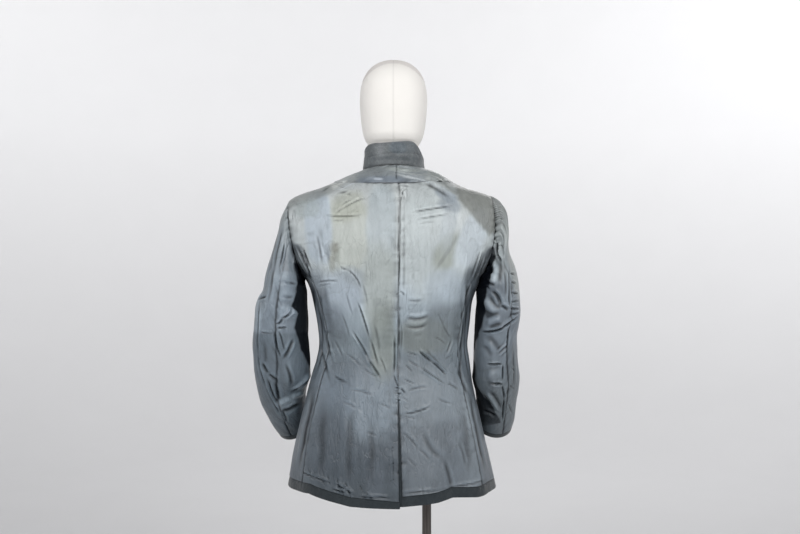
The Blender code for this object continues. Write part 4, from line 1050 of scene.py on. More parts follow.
def cloth_mesh(name, outer, inner, tint, finishes, around=False, round_off=0.0):
    """A closed shell between two grids of points, with a colour for each point."""
    rows, across = outer.shape[:2]
    count = rows * across
    points = [outer.reshape(-1, 3), inner.reshape(-1, 3)]
    colours = [tint.reshape(-1, 3), tint.reshape(-1, 3) * INNER_SHADE]
    at = np.arange(count).reshape(rows, across)
    last = np.roll(at, -1, 1) if around else at[:, 1:]
    first = at if around else at[:, :-1]
    quads = np.stack([first[:-1], last[:-1], last[1:], first[1:]], -1).reshape(-1, 4)
    faces = [quads, quads[:, ::-1] + count]
    made = 2 * count
    for edge, within in rim_loops(rows, across, around):
        size = len(edge)
        over, under = points[0][edge], points[1][edge]
        thick = np.linalg.norm(over - under, axis=1, keepdims=True)
        out = unit(over - points[0][within]) * thick / 2 * round_off
        rings = [edge]
        for angle in np.radians(RIM_ANGLES) if round_off else ():
            middle, half = (over + under) / 2, (over - under) / 2
            points.append(middle + half * math.cos(angle) + out * math.sin(angle))
            colours.append(colours[0][edge])
            rings.append(made + np.arange(size))
            made += size
        rings.append(edge + count)
        for upper, lower in zip(rings, rings[1:]):
            faces.append(np.stack([upper, lower, np.roll(lower, -1), np.roll(upper, -1)], 1))
    slots = np.zeros(sum(len(part) for part in faces), np.int32)
    slots[len(quads): 2 * len(quads)] = 1
    parts = np.concatenate(points), np.concatenate(faces), np.concatenate(colours)
    return link_mesh(name, *parts, finishes, slots)


def link_mesh(name, points, quads, colours=None, finishes=(), slots=None, sharp=50):
    """A mesh object from arrays, with creases shaded sharp past an angle."""
    mesh = bpy.data.meshes.new(name)
    mesh.vertices.add(len(points))
    mesh.vertices.foreach_set("co", np.asarray(points, np.float32).ravel())
    mesh.loops.add(quads.size)
    mesh.loops.foreach_set("vertex_index", quads.astype(np.int32).ravel())
    mesh.polygons.add(len(quads))
    mesh.polygons.foreach_set("loop_start", np.arange(0, quads.size, quads.shape[1], dtype=np.int32))
    if slots is not None:
        mesh.polygons.foreach_set("material_index", slots)
    mesh.update(calc_edges=True)
    mesh.validate()
    mesh.shade_smooth()
    mesh.set_sharp_from_angle(angle=math.radians(sharp))
    if colours is not None:
        layer = mesh.color_attributes.new("tint", "FLOAT_COLOR", "POINT")
        filled = np.ones((len(points), 4), np.float32)
        filled[:, :3] = np.clip(colours, 0, 1)
        layer.data.foreach_set("color", filled.ravel())
    for finish in finishes:
        mesh.materials.append(finish.material)
    made = bpy.data.objects.new(name + "_shown", mesh)
    bpy.context.scene.collection.objects.link(made)
    PIECES[name], TRIANGLES[name] = made, 2 * len(quads)
    return made


def dress(name, piece):
    """Gives a piece its place in the frame: it rides on the root and stands for its solid, which is hidden.
    """
    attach(piece, "root")
    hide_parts(name)


TRIANGLES, PIECES = {}, {}
print("cloth wall", WALL / MM, "mm")

# %% [markdown]
# # Finishes
#
# The satin takes its colour from the mesh and adds what is too fine for it: thread-thin vertical lines,
# a soft crumple whose wrinkles are also darkened in colour as painted shade, and the shine of a
# warp-faced weave. Where the mesh colour is painted deep shade, a matt shader without gleam takes over.
# The wool is matt, with a short nap that hides its weave, and it is worn paler where the collar has rubbed.

# %% Satin


def satin(name, roughness, crumple=1.0):
    """Worn satin that takes its colour from the mesh."""
    finish = Finish(name, Specular_IOR_Level=0.6, Sheen_Weight=0.08, Sheen_Roughness=0.35)
    tint = finish.painted()
    threads = finish.grain(900, 22)
    slubs = finish.grain(170, 7, 3.0)
    mottle = finish.grain(40, 26, 6.0, 0.68)
    where = finish.ramp(finish.noise(finish.position(), 11.0, 2.0), (0.40, 0.15), (0.62, 1.0))
    wrinkle = 0.0
    for across, up, width in ((34, 9, 0.040), (70, 22, 0.045)):
        web = finish.grain(across, up, 2.0, 0.45, 0.9)
        wrinkle = finish.ramp(abs(web - 0.5), (0.0, 1.0), (width, 0.0)) * where * 0.5 + wrinkle
    # the wrinkles darken the colour as well: painted shade in them
    light = (threads - 0.5) * 0.05 + (slubs - 0.5) * 0.09 + (mottle - 0.5) * 0.34 - wrinkle * 0.18 + 1.04
    finish.link(finish.shaded(tint, light), "Base Color")
    finish.link((mottle - 0.5) * 0.25 + (slubs - 0.5) * 0.10 + roughness, "Roughness")
    soft = finish.grain(46, 15, 3.0, 0.55, 0.6)
    fine = finish.grain(160, 70)
    weave = finish.grain(1500, 700, 1.0)
    relief = soft * 0.75 + fine * 0.22 + weave * 0.03 - wrinkle * 0.42
    bent = finish.bump(relief, 0.0030 * crumple, 0.8)
    finish.link(bent, "Normal")
    # cloth in deep shade has no gleam
    matt = finish.node("ShaderNodeBsdfDiffuse", {}, {"Color": tint, "Normal": bent})
    gleam = Wire(finish, finish.shader.outputs[0])
    depth = finish.ramp(finish.node("ShaderNodeRGBToBW", {}, {0: tint}), (0.010, 1.0), (0.060, 0.0))
    blend = finish.node("ShaderNodeMixShader", {}, {0: depth, 1: gleam, 2: matt})
    finish.tree.links.new(blend.socket, finish.tree.nodes["Material Output"].inputs["Surface"])
    return finish


SATIN = satin("worn_satin", 0.43)
YOKE_SATIN = satin("yoke_satin", 0.40, 0.7)
print("satin nodes", len(SATIN.tree.nodes))

# %% Wool


def wool(name, dark, pale, wear=0.5, tinted=True):
    """Milled wool between two colours, more or less rubbed."""
    finish = Finish(name, Roughness=0.92, Specular_IOR_Level=0.25, Sheen_Weight=0.35, Sheen_Roughness=0.5)
    place = finish.position()
    nap = finish.grain(420, 300, 3.0, 0.6)
    felt = finish.noise(place, 120.0, 3.0, 0.6)
    rubbed = finish.ramp(finish.noise(place, 26.0, 4.0, 0.65), (0.5 - 0.12 * wear, 0.0), (0.72, 1.0))
    scratch = finish.noise(place, 58.0, 3.0, 0.6, 1.2)
    scratch = finish.ramp(abs(scratch - 0.5), (0.0, 1.0), (0.035, 0.0)) * wear
    share = (nap * 0.45 + felt * 0.35 + rubbed * wear * 0.5 + scratch * 0.22 - 0.15).held()
    colour = finish.mix(share, dark, pale)
    if tinted:
        colour = finish.mix(1.0, colour, finish.painted(), "MULTIPLY")
    finish.link(colour, "Base Color")
    finish.link(finish.bump(nap * 0.6 + felt - scratch * 0.3, 0.0011, 0.7), "Normal")
    return finish


WOOL = wool("field_wool", paint(33, 39, 43), paint(59, 66, 70))
INNER_WOOL = wool("inner_wool", paint(40, 46, 50), paint(62, 68, 72), 0.2, tinted=False)
COLLAR_WOOL = wool("collar_wool", paint(76, 82, 85), paint(138, 142, 144), 1.0)
print("three wools")

# %% [markdown]
# ## Panels of the body
#
# A panel is a lattice of turns and climbs between two seams. Its foot follows the hem and its rows grow
# level upwards. At a seam both panels dip into a groove and pucker along it, as fine lining does.

# %% Panel
SEAM_GAP = 0.00012
MIDDLE_CLIMB = 0.3
SEAM_DIP, SEAM_REACH, SEAM_DARK, LINE_REACH = 0.0017, 0.0024, 0.5, 0.0014
PUCKER_HEIGHT, PUCKER_REACH, PUCKER_START = 0.0011, 0.012, 0.0012
SETTLING = 5


def from_edges(points):
    """Distance of each point of a grid from its four edges: low, high, foot, top."""
    across = np.linalg.norm(np.diff(points, axis=1), axis=-1)
    up = np.linalg.norm(np.diff(points, axis=0), axis=-1)
    low = np.concatenate([np.zeros((len(points), 1)), np.cumsum(across, 1)], 1)
    foot = np.concatenate([np.zeros((1, points.shape[1])), np.cumsum(up, 0)], 0)
    return {"low": low, "high": low[:, -1:] - low, "foot": foot, "top": foot[-1:] - foot}


def seam_strength(points, edge):
    """How strongly a seam shows: less along the armholes, and at the far ends of the yoke."""
    across, height = np.abs(points[..., 0]), points[..., 2]
    if edge in ("low", "high"):
        middle = 0.4 * ease((0.03 - across) / 0.01) * ease((height - 0.95) / 0.03)
        return 1 - middle - 0.6 * ease((height - 1.20) / 0.02) * ease((across - 0.12) / 0.04)
    end = ease((across - 0.040) / 0.03) * ease((1.44 - height) / 0.01) * ease((height - 1.30) / 0.01)
    return 1 - 0.95 * end


def seam_lift(points, seams, seed):
    """The groove and the puckers along the seams named."""
    away = from_edges(points)
    lift = np.zeros(points.shape[:2])
    for number, edge in enumerate(seams):
        run = away["foot"] if edge in ("low", "high") else away["low"]
        gap = away[edge]
        lift -= SEAM_DIP * seam_strength(points, edge) * bell(gap, SEAM_REACH)
        wave = noise(run / 0.0075, gap / 0.03, seed + number) + 0.6 * noise(run / 0.018, gap / 0.02, seed + 9)
        lift += PUCKER_HEIGHT * wave * np.exp(-gap / PUCKER_REACH) * (1 - bell(gap, PUCKER_START))
    return lift


def seam_line(points, seams):
    """1 on the seams named, falling to 0 beside them, for the dark line that a join shows."""
    away = from_edges(points)
    line = np.zeros(points.shape[:2])
    for edge in seams:
        line += seam_strength(points, edge) * bell(away[edge], LINE_REACH)
    return line


SHOULDER_RISE = {"amount": 0.0050, "across": 0.085, "width": 0.036, "from": 1.400, "grow": 0.03}


def shoulder_rise(point):
    """The right shoulder's fullness beside the neck."""
    across, height = point[..., 0], point[..., 2]
    hump = SHOULDER_RISE["amount"] * bell(across - SHOULDER_RISE["across"], SHOULDER_RISE["width"])
    return hump * ease((height - SHOULDER_RISE["from"]) / SHOULDER_RISE["grow"])


UNDERARM_ROLL = {"top": 1.234, "bottom": 1.160, "body": 0.0052, "sleeve": 0.0060}


def underarm_roll(side, point, amount):
    """The cloth that rolls down under the right armhole, on the body and on the sleeve."""
    if side < 0:
        return 0.0
    height = point[..., 2]
    window = ease((UNDERARM_ROLL["top"] - height) / 0.010) * ease((height - UNDERARM_ROLL["bottom"]) / 0.045)
    return amount * window


def soft_lift(point):
    """The slow unevenness of hanging cloth, longer up than across."""
    across, forward, height = np.moveaxis(point, -1, 0)
    round_it = across - forward * 0.6
    slow = 0.0010 * noise(round_it / 0.050, height / 0.11, 31)
    quick = 0.00035 * rough_noise(round_it / 0.014, height / 0.05, 33)
    return slow + quick


def lattice(low_of, high_of, foot_of, top_of, rows, across):
    """Turns and climbs of a panel's points between two edges, a foot line and a top line."""
    share = np.linspace(0, 1, across)
    level = np.linspace(0, 1, rows)[:, None]
    climb = np.full((rows, across), MIDDLE_CLIMB)
    for _ in range(SETTLING):
        low, high = low_of(climb), high_of(climb)
        turn = low + (high - low) * share
        foot, top = foot_of(turn[0]), top_of(turn[-1])
        climb = foot + (top - foot) * level
    return turn, climb


def note_cut(name, point):
    """Keeps the longest run across, the longest run up and the area of a piece's own surface."""
    spread = from_edges(point)
    width, length = float(spread["low"][:, -1].max()), float(spread["foot"][-1].max())
    sides = np.diff(point, axis=0)[:, :-1], np.diff(point, axis=1)[:-1]
    area = float(np.linalg.norm(np.cross(*sides), axis=-1).sum())
    CUTS[name] = (width, length, area)
    size = f"{width:.3f} x {length:.3f} m, {area:.4f} m2"
    print(name, TRIANGLES[name], "triangles,", size)


def panel(
    name, turn, climb, seams, finish, seed, lift=0.0, colour=body_colour, round_off=0.0, folds=True
):
    """One panel of the body. Its own folds are in lift, and those of the tables are added."""
    point, normal = cloth_point(turn, climb)
    fold = fold_lift(point, normal, BODY_FOLDS) if folds else np.zeros(turn.shape)
    seam = seam_lift(point, seams, seed)
    raised = fold + seam + (soft_lift(point) if folds else 0.0) + shoulder_rise(point)
    raised = raised + underarm_roll(1, point, UNDERARM_ROLL["body"]) * ease((normal[..., 0] - 0.72) / 0.2)
    tint = colour(point, normal, fold + seam)
    tint = tint * (1 - SEAM_DARK * seam_line(point, seams))[..., None]
    whole = (raised + lift)[..., None]
    outer = point + normal * whole
    inner = point + normal * (whole - WALL)
    if turn[0, -1] < turn[0, 0]:
        outer, inner, tint = outer[:, ::-1], inner[:, ::-1], tint[:, ::-1]
    dress(name, cloth_mesh(name, outer, inner, tint, (finish, INNER_WOOL), round_off=round_off))
    note_cut(name, point)


CUTS = {}
print("a seam gathers up to", PUCKER_HEIGHT / MM, "mm")

# %% Backs
BACK_ROWS, BACK_ACROSS, ROWS_TO_YOKE = 232, 92, 8


def lining_foot(turn):
    return hem_climb(turn, band_height(turn))


def gapped(edge_of, offset):
    """An edge moved by half a seam gap."""
    return lambda climb: edge_of(climb) + offset * SEAM_GAP / 2 * metre_turn(90.0, MIDDLE_CLIMB)


def make_back(side):
    tip = armhole_ends(side)[1]
    turn, climb = lattice(
        gapped(lambda at: back_edge(side, at), side),
        gapped(lambda at: outer_edge(side, "back", at), -side),
        lining_foot,
        lambda at: np.full_like(at, tip),
        BACK_ROWS, BACK_ACROSS,
    )
    steps = np.linspace(0, 1, ROWS_TO_YOKE + 1)[1:, None]
    top = yoke_climb(turn[-1]) - SEAM_GAP
    climb = np.vstack([climb, tip + (top - tip) * steps])
    turn = np.vstack([turn, np.ones((ROWS_TO_YOKE, 1)) * turn[-1]])
    panel("back_lining_" + LABEL[side], turn, climb, ("low", "high", "top"), SATIN, 10 + side)


for side in (-1, 1):
    make_back(side)

# %% [markdown]
# ## The yoke round the neck
#
# Under the collar lies a curved band of tighter satin. It was covered by the collar, so it has kept
# its shine. The thin pale streaks along its ridges are painted highlights. A short tuck stands in its middle.

# %% Yoke
YOKE_STOPS = ((1.38, (132, 136, 137)), (1.42, (126, 132, 137)), (1.47, (140, 144, 145)))
YOKE_PATCHES = (
    # the thin pale streaks, a few millimetres high, are painted highlights along the ridges
    (56, 1429, 22, 2, -20, 0.7, 0.8, (204, 210, 216)), (-22, 1425, 56, 12, 0, 0.6, 0.85, (122, 130, 140)),
    (-32, 1431.5, 9, 3, -4, 0.9, 0.8, (196, 202, 212)), (-50, 1433, 8, 3, 10, 0.9, 0.4, (160, 166, 176)),
    (6.6, 1449, 1.4, 18, 0, 0.5, 0.8, (52, 57, 63)), (-112, 1428, 34, 26, 0, 0.5, 0.8, (156, 159, 159)),
    (48, 1432, 40, 2.5, -14, 0.9, 0.8, (190, 194, 197)), (20, 1452, 34, 4, -6, 0.9, 0.5, (168, 172, 168)),
    (34, 1443, 34, 2, -12, 0.9, 0.6, (176, 180, 180)), (100, 1424, 34, 30, 20, 0.7, 0.7, (146, 149, 147)),
)
YOKE_FOLDS = (
    (7, 1466, 7, 1424, 0, 1.3, 2.4, 0.3, 0.4), (10, 1458, 46, 1451, 2, 2, 1.8, 0.8, 0.3),
    (12, 1449, 36, 1446, 1, 1.8, 1.4, 0.8, 0.3), (-60, 1446, -14, 1452, -2, 2.4, 0.8, 0.6, 0),
    (50, 1440, 124, 1408, 6, 3, -2.4, 0.6, 0), (44, 1434, 122, 1402, 6, 2.6, 2, 0.6, 0),
    (-112, 1416, -60, 1440, 3, 3, 1, 0.6, 0), (-118, 1424, -74, 1434, 3, 3, -1.6, 0.4, 0),
    (-141, 1425, -126, 1408, 0, 1.6, 2, 0.5, 0.6), (-127, 1408, -99, 1428, 1, 1.6, 2, 0.5, -0.6),
    (30, 1438, 78, 1424, 2, 2, 1.6, 0.9, 0.3), (16, 1434, 50, 1428, 1, 2, 1.2, 0.8, 0.3),
    (60, 1446, 110, 1428, 2, 2.4, 1.2, 0.8, 0.3),
)
YOKE_UP, YOKE_ACROSS = 40, 170


def yoke_colour(point, normal, lift):
    """The colour of the yoke, where dark cloth from the shoulder reaches it."""
    across, height = point[..., 0], point[..., 2]
    colour = patches(gradient(height, YOKE_STOPS), across, height, YOKE_PATCHES)
    return wear_and_fold_shading(corner_patches(colour, across, height, SHOULDER_CORNERS), point, lift)


def make_yoke():
    turn = np.linspace(-90, 90, YOKE_ACROSS) * np.ones((YOKE_UP, 1))
    foot = yoke_climb(turn[0]) + SEAM_GAP
    climb = foot + (NECK - foot) * np.linspace(0, 1, YOKE_UP)[:, None]
    point, normal = cloth_point(turn, climb)
    extra = creases(point[..., 0], point[..., 2], YOKE_FOLDS) * facing(normal, 1, -1)
    seams = ("foot", "top")
    panel("neck_yoke", turn, climb, seams, YOKE_SATIN, 40, extra, yoke_colour, folds=False)


make_yoke()

# %% Sides
SIDE_ROWS, SIDE_ACROSS = 150, 56


def make_side(side):
    share = np.linspace(0, 1, SIDE_ACROSS)

    def turns(climb):
        back, front = (side * side_seam(half, climb) for half in ("back", "front"))
        return back + (front - back) * share

    low = armhole_ends(side)[0] - 0.02
    high = max(junction(side, half) for half in ("back", "front")) + 0.02
    top = bisect(lambda at: past_armhole(side, side * turns(at), at), low, high, share.shape)
    level = np.linspace(0, 1, SIDE_ROWS)[:, None]
    foot = lining_foot(turns(np.full(share.shape, 0.02)))
    climb = foot + (top - SEAM_GAP - foot) * level
    seams = ("low", "high", "top")
    panel("side_lining_" + LABEL[side], turns(climb), climb, seams, SATIN, 50 + side)


for side in (-1, 1):
    make_side(side)

# %% [markdown]
# ## Fronts
#
# Each front is a satin panel and, along the closing edge, a wool facing. The left front laps over the
# right one. Only the back of the buttonholes shows, as short rows of thread.

# %% Front linings and facings
FRONT_ROWS, ROWS_TO_NECK = 170, 21
FRONT_ACROSS, FACING_ACROSS = 44, 30


def plain_colour(point, *_):
    """No tint: the finish keeps its own colours."""
    return np.ones(point.shape)


def front_lattice(side, low_of, high_of, foot_of, width):
    """A front's points, up to the tip of the shoulder and on to the neck."""
    tip = armhole_ends(side)[1]
    turn, climb = lattice(low_of, high_of, foot_of, lambda at: np.full_like(at, tip), FRONT_ROWS, width)
    above = tip + (NECK - SEAM_GAP - tip) * np.linspace(0, 1, ROWS_TO_NECK + 1)[1:, None]
    low, high = low_of(above), high_of(above)
    turn = np.vstack([turn, low + (high - low) * np.linspace(0, 1, width)])
    return turn, np.vstack([climb, above * np.ones(width)])


def make_front(side):
    outer = gapped(lambda at: outer_edge(side, "front", at), side)
    seam = {offset: gapped(lambda at: facing_turn(side, at), offset) for offset in (-side, side)}
    own = gapped(lambda at: lap_turn(side, at), 0)
    turn, climb = front_lattice(side, outer, seam[-side], lining_foot, FRONT_ACROSS)
    lift, seams = front_lift(side, turn, climb), ("low", "high", "top")
    panel("front_lining_" + LABEL[side], turn, climb, seams, SATIN, 60 + side, lift)
    turn, climb = front_lattice(side, seam[side], own, hem_climb, FACING_ACROSS)
    lift, seams = front_lift(side, turn, climb), ("low", "top")
    panel("front_facing_" + LABEL[side], turn, climb, seams, WOOL, 60 + side, lift, plain_colour, 0.8)


for side in (-1, 1):
    make_front(side)

# %% [markdown]
# ## Hem, vent and cuffs in wool
#
# The shell is longer than its lining, so a strip of wool shows all round the bottom. At the vent the
# right half's edge shows too, and passes under the left half.

# %% Hem bands
BAND_ROWS = 9


def make_band(name, low_of, high_of, across, side_of_front=0):
    turn, climb = lattice(
        low_of, high_of, hem_climb, lambda at: lining_foot(at) - SEAM_GAP, BAND_ROWS, across
    )
    lift = front_lift(side_of_front, turn, climb) if side_of_front else 0.0
    point, _ = cloth_point(turn, climb)
    wave = 0.0004 * noise(point[..., 0] / 0.02 + point[..., 1] / 0.02, point[..., 2] / 0.05, 71)
    panel(name, turn, climb, ("top",), WOOL, 70, lift + wave, plain_colour, 0.9, False)


for side in (-1, 1):
    back = gapped(lambda at: back_edge(side, at), side)
    seams = {half: (lambda at, half=half: side * side_seam(half, at)) for half in ("back", "front")}
    front = lambda at: facing_turn(side, at)
    make_band("hem_back_" + LABEL[side], back, seams["back"], BACK_ACROSS)
    make_band("hem_side_" + LABEL[side], seams["back"], seams["front"], SIDE_ACROSS)
    make_band("hem_front_" + LABEL[side], seams["front"], front, FRONT_ACROSS, side)

# %% Vent
VENT_CLEAR, VENT_PAST_EDGE = 0.0008, 0.0004
VENT_ROWS, VENT_ACROSS = 80, 14


def make_vent_underlap():
    climb = np.linspace(0, VENT_TOP, VENT_ROWS)[:, None] * np.ones(VENT_ACROSS)
    seam = np.full(climb.shape, BACK_SEAM_TURN)
    degrees = metre_turn(seam, climb)
    low, high = seam - VENT_UNDERLAP * degrees, seam + (vent_show(climb) + VENT_PAST_EDGE) * degrees
    turn = low + (high - low) * np.linspace(0, 1, VENT_ACROSS)
    climb = climb + (hem_climb(turn[0]) - climb[0]) * (1 - climb / VENT_TOP)
    below = -(WALL + VENT_CLEAR)
    panel("vent_underlap", turn, climb, (), WOOL, 80, below, plain_colour, 0.9, False)


make_vent_underlap()

# %% [markdown]
# ## Collar
#
# The collar is a standing band of wool that leans in a little. Its upper edge is turned over, so the
# outline of its wall is one closed loop: up the outer face, over a round edge and down the inner face.

# %% Collar
COLLAR_COLUMNS = ("turn", "height")
COLLAR_ROWS = (
    (-180, 0.034), (-130, 0.032), (-100, 0.037), (-78, 0.0445), (-62, 0.0485), (-48, 0.0490),
    (-20, 0.0450), (0, 0.0450), (15, 0.0470), (35, 0.0510), (45, 0.0510), (57, 0.0455),
    (70, 0.034), (90, 0.024), (130, 0.026), (180, 0.034),
)
COLLAR_FULL_HEIGHT, COLLAR_WALL, COLLAR_GAP, COLLAR_CLEAR = 0.055, 0.0030, 0.3, 0.0008
COLLAR_ACROSS, COLLAR_UP = 260, 34
COLLAR_LIP, LIP_REACH, COLLAR_DIP, DIP_REACH, COLLAR_TROUGH_SHADE = 0.0012, 0.004, 0.0010, 0.0025, 0.35
COLLAR_EDGE = {"left": 0.0615, "right": 0.0600, "back": 0.0620, "front": 0.0640}
COLLAR_FOLDS = (
    (-40, 1488, 66, 1489, 1, 2.2, 1.3, 0.7, 0.3), (-58, 1482, -30, 1487, 0, 2, 0.7, 0.6, 0),
    (20, 1494, 60, 1486, 2, 2.2, 1, 0.6, 0), (46, 1500, 58, 1476, 1, 2.4, 1, 0.6, 0),
    (-48, 1504, -10, 1506, 1, 3, 0.8, 0.6, 0), (4, 1512, 9, 1484, 1, 2.4, 0.7, 0.6, 0),
)
COLLAR_PATCHES = (
    (10, 1500, 18, 12, 0, 0.5, 0.75, (235, 246, 255)), (52, 1490, 10, 22, 0, 0.7, 0.5, (196, 200, 204)),
    (-52, 1480, 14, 24, 0, 0.7, 0.5, (196, 202, 206)), (-5, 1478, 60, 4, 0, 0.9, 0.5, (190, 196, 200)),
    (36, 1504, 12, 14, 20, 0.8, 0.5, (206, 214, 220)),
)


def make_collar():
    table = columns(COLLAR_COLUMNS, COLLAR_ROWS)
    turn = np.linspace(FRONT_MIDDLE_TURN - 360 + COLLAR_GAP, FRONT_MIDDLE_TURN - COLLAR_GAP, COLLAR_ACROSS)
    foot = bare_point(turn, np.full(COLLAR_ACROSS, NECK))
    edge = np.stack(squared(turn, **COLLAR_EDGE), -1)
    full = smooth(table["turn"], table["height"], np.mod(turn + 180, 360) - 180)
    share = np.linspace(0, 1, COLLAR_UP)[:, None]
    height = share * full
    lean = (height / COLLAR_FULL_HEIGHT)[..., None]
    flat = foot[:, :2] + (edge - foot[:, :2]) * lean
    outwards = unit(flat)
    point = np.concatenate([flat, (foot[:, 2] + COLLAR_CLEAR + height)[..., None]], -1)
    normal = np.concatenate([outwards, np.zeros_like(height)[..., None]], -1)
    lift = creases(point[..., 0], point[..., 2], COLLAR_FOLDS) * facing(normal, 1, -1)
    lift += 0.0006 * rough_noise(point[..., 0] / 0.016 + point[..., 1] / 0.02, point[..., 2] / 0.012, 91)
    lift += COLLAR_LIP * bell((1 - share) * full, LIP_REACH)
    lift -= COLLAR_DIP * bell(height, DIP_REACH)
    outer = point + normal * lift[..., None]
    inner = point + normal * (lift - COLLAR_WALL)[..., None]
    colour = patches(plain_colour(point), point[..., 0], point[..., 2], COLLAR_PATCHES)
    # the troughs of the collar's folds get painted shade
    colour = colour * (1 - COLLAR_TROUGH_SHADE * np.clip(-lift / 0.002, 0, 1))[..., None]
    piece = cloth_mesh("collar", outer, inner, colour, (COLLAR_WOOL, COLLAR_WOOL), round_off=1.0)
    dress("collar", piece)
    length = float(np.linalg.norm(np.diff(foot, axis=0), axis=1).sum())
    CUTS["collar"] = (length, float(full.max()), length * float(full.mean()))
    print("collar", TRIANGLES["collar"], "triangles,", round(length, 3), "m round the neck")


make_collar()

# %% [markdown]
# # Sleeves
#
# A sleeve starts at the armhole, fans round the underarm and goes on as a bent tube. It is cut in two
# pieces, upper and under, and it twists on its way down, which brings one seam round to the back. The
# rings come from the construction tables; `smooth` fills in as many rows between them as folds need.

# %% Tables of the sleeves
HEAD_COLUMNS = ("lean", "inner", "outer", "half_depth", "armhole_shape", "twist")
HEAD_ROWS = {
    -1: (
        (16.0, 0.0210, 0.1840, 0.064, 0.93, -5),
        (20.0, 0.0190, 0.1700, 0.066, 0.85, -5),
        (27.0, 0.0150, 0.1430, 0.069, 0.65, -6),
        (35.0, 0.0120, 0.1255, 0.072, 0.42, -7),
        (45.0, 0.0090, 0.1115, 0.074, 0.22, -8),
        (57.0, 0.0070, 0.1030, 0.075, 0.08, -9),
        (73.0, 0.0055, 0.0980, 0.075, 0.0, -10),
        (90.0, 0.0045, 0.0985, 0.075, 0.0, -10),
    ),
    1: (
        (14.0, 0.0210, 0.1985, 0.064, 0.93, 2),
        (20.0, 0.0190, 0.1840, 0.066, 0.80, -5),
        (27.0, 0.0150, 0.1510, 0.069, 0.62, -12),
        (35.0, 0.0120, 0.1200, 0.072, 0.42, -19),
        (45.0, 0.0090, 0.1050, 0.074, 0.22, -25),
        (57.0, 0.0070, 0.0990, 0.075, 0.08, -29),
        (73.0, 0.0055, 0.0955, 0.075, 0.0, -32),
        (90.0, 0.0045, 0.0945, 0.075, 0.0, -33),
    ),
}
ARMHOLE_TWIST = {-1: -5, 1: 6}
SLEEVE_COLUMNS = ("height", "across", "forward", "half_width", "half_depth", "twist")
SLEEVE_ROWS = {
    -1: (
        (1.150, -0.2460, 0.002, 0.0570, 0.073, -9),
        (1.100, -0.2495, 0.006, 0.0590, 0.068, -7),
        (1.050, -0.2510, 0.016, 0.0600, 0.062, -5),
        (1.000, -0.2530, 0.034, 0.0560, 0.060, -6),
        (0.955, -0.2495, 0.058, 0.0510, 0.056, -5),
        (0.912, -0.2385, 0.083, 0.0445, 0.051, -5),
        (0.880, -0.2275, 0.103, 0.0395, 0.047, -5),
    ),
    1: (
        (1.150, 0.2300, 0.002, 0.0490, 0.075, -33),
        (1.100, 0.2250, 0.006, 0.0465, 0.072, -31),
        (1.050, 0.2270, 0.012, 0.0465, 0.069, -28),
        (1.000, 0.2320, 0.022, 0.0470, 0.066, -26),
        (0.955, 0.2300, 0.040, 0.0450, 0.060, -25),
        (0.912, 0.2295, 0.060, 0.0435, 0.054, -25),
        (0.887, 0.2275, 0.074, 0.0405, 0.048, -25),
    ),
}
SLEEVE_TURNS = {"upper": (-115, 95), "under": (95, 245)}
SLEEVE_ROWS_DOWN = 14
# points across and rows down of each piece
SLEEVE_GRIDS = {
    (-1, "upper"): (130, 225), (1, "upper"): (190, 235), (-1, "under"): (88, 215), (1, "under"): (88, 215),
}
CUFF_BAND = 0.012
print("sleeve rings", len(HEAD_ROWS[-1]) + SLEEVE_ROWS_DOWN)

# %% Rings of a sleeve


def armhole_outline(side):
    """The armhole in its own plane: reach from the underarm point, and forward."""
    low, high = armhole_ends(side)
    climb = low + (high - low) * (1 - np.cos(np.linspace(0, math.pi, 41))) / 2
    upright = math.cos(math.radians(ARMHOLE[side]["tilt"]))
    line = []
    for half, order in (("back", 1), ("front", -1)):
        point = bare_point(side * armhole_turn(side, climb, half), climb)[::order]
        line.append(np.stack([(point[:, 2] - ARMHOLE[side]["height"]) / upright, point[:, 1]], 1))
    return np.concatenate(line)


OUTLINES = {side: armhole_outline(side) for side in (-1, 1)}


def armhole_shape(side, around):
    """Reach and forward of the armhole at places around it: 0 at the shoulder tip, 90 at the back."""
    line = OUTLINES[side]
    low, high = line.min(0), line.max(0)
    middle, half = (low + high) / 2, (high - low) / 2
    measured = (line - middle) / half
    angle = np.degrees(np.arctan2(-measured[:, 1], measured[:, 0])) % 360
    angle, keep = np.unique(angle, return_index=True)
    read = [np.interp(np.mod(around, 360), angle, measured[keep][:, axis], period=360) for axis in (0, 1)]
    return np.stack(read, -1), middle, half


def ring_directions(around):
    """Directions round a ring: 0 outwards, 90 to the back."""
    return np.stack([np.cos(np.radians(around)), -np.sin(np.radians(around))], -1)


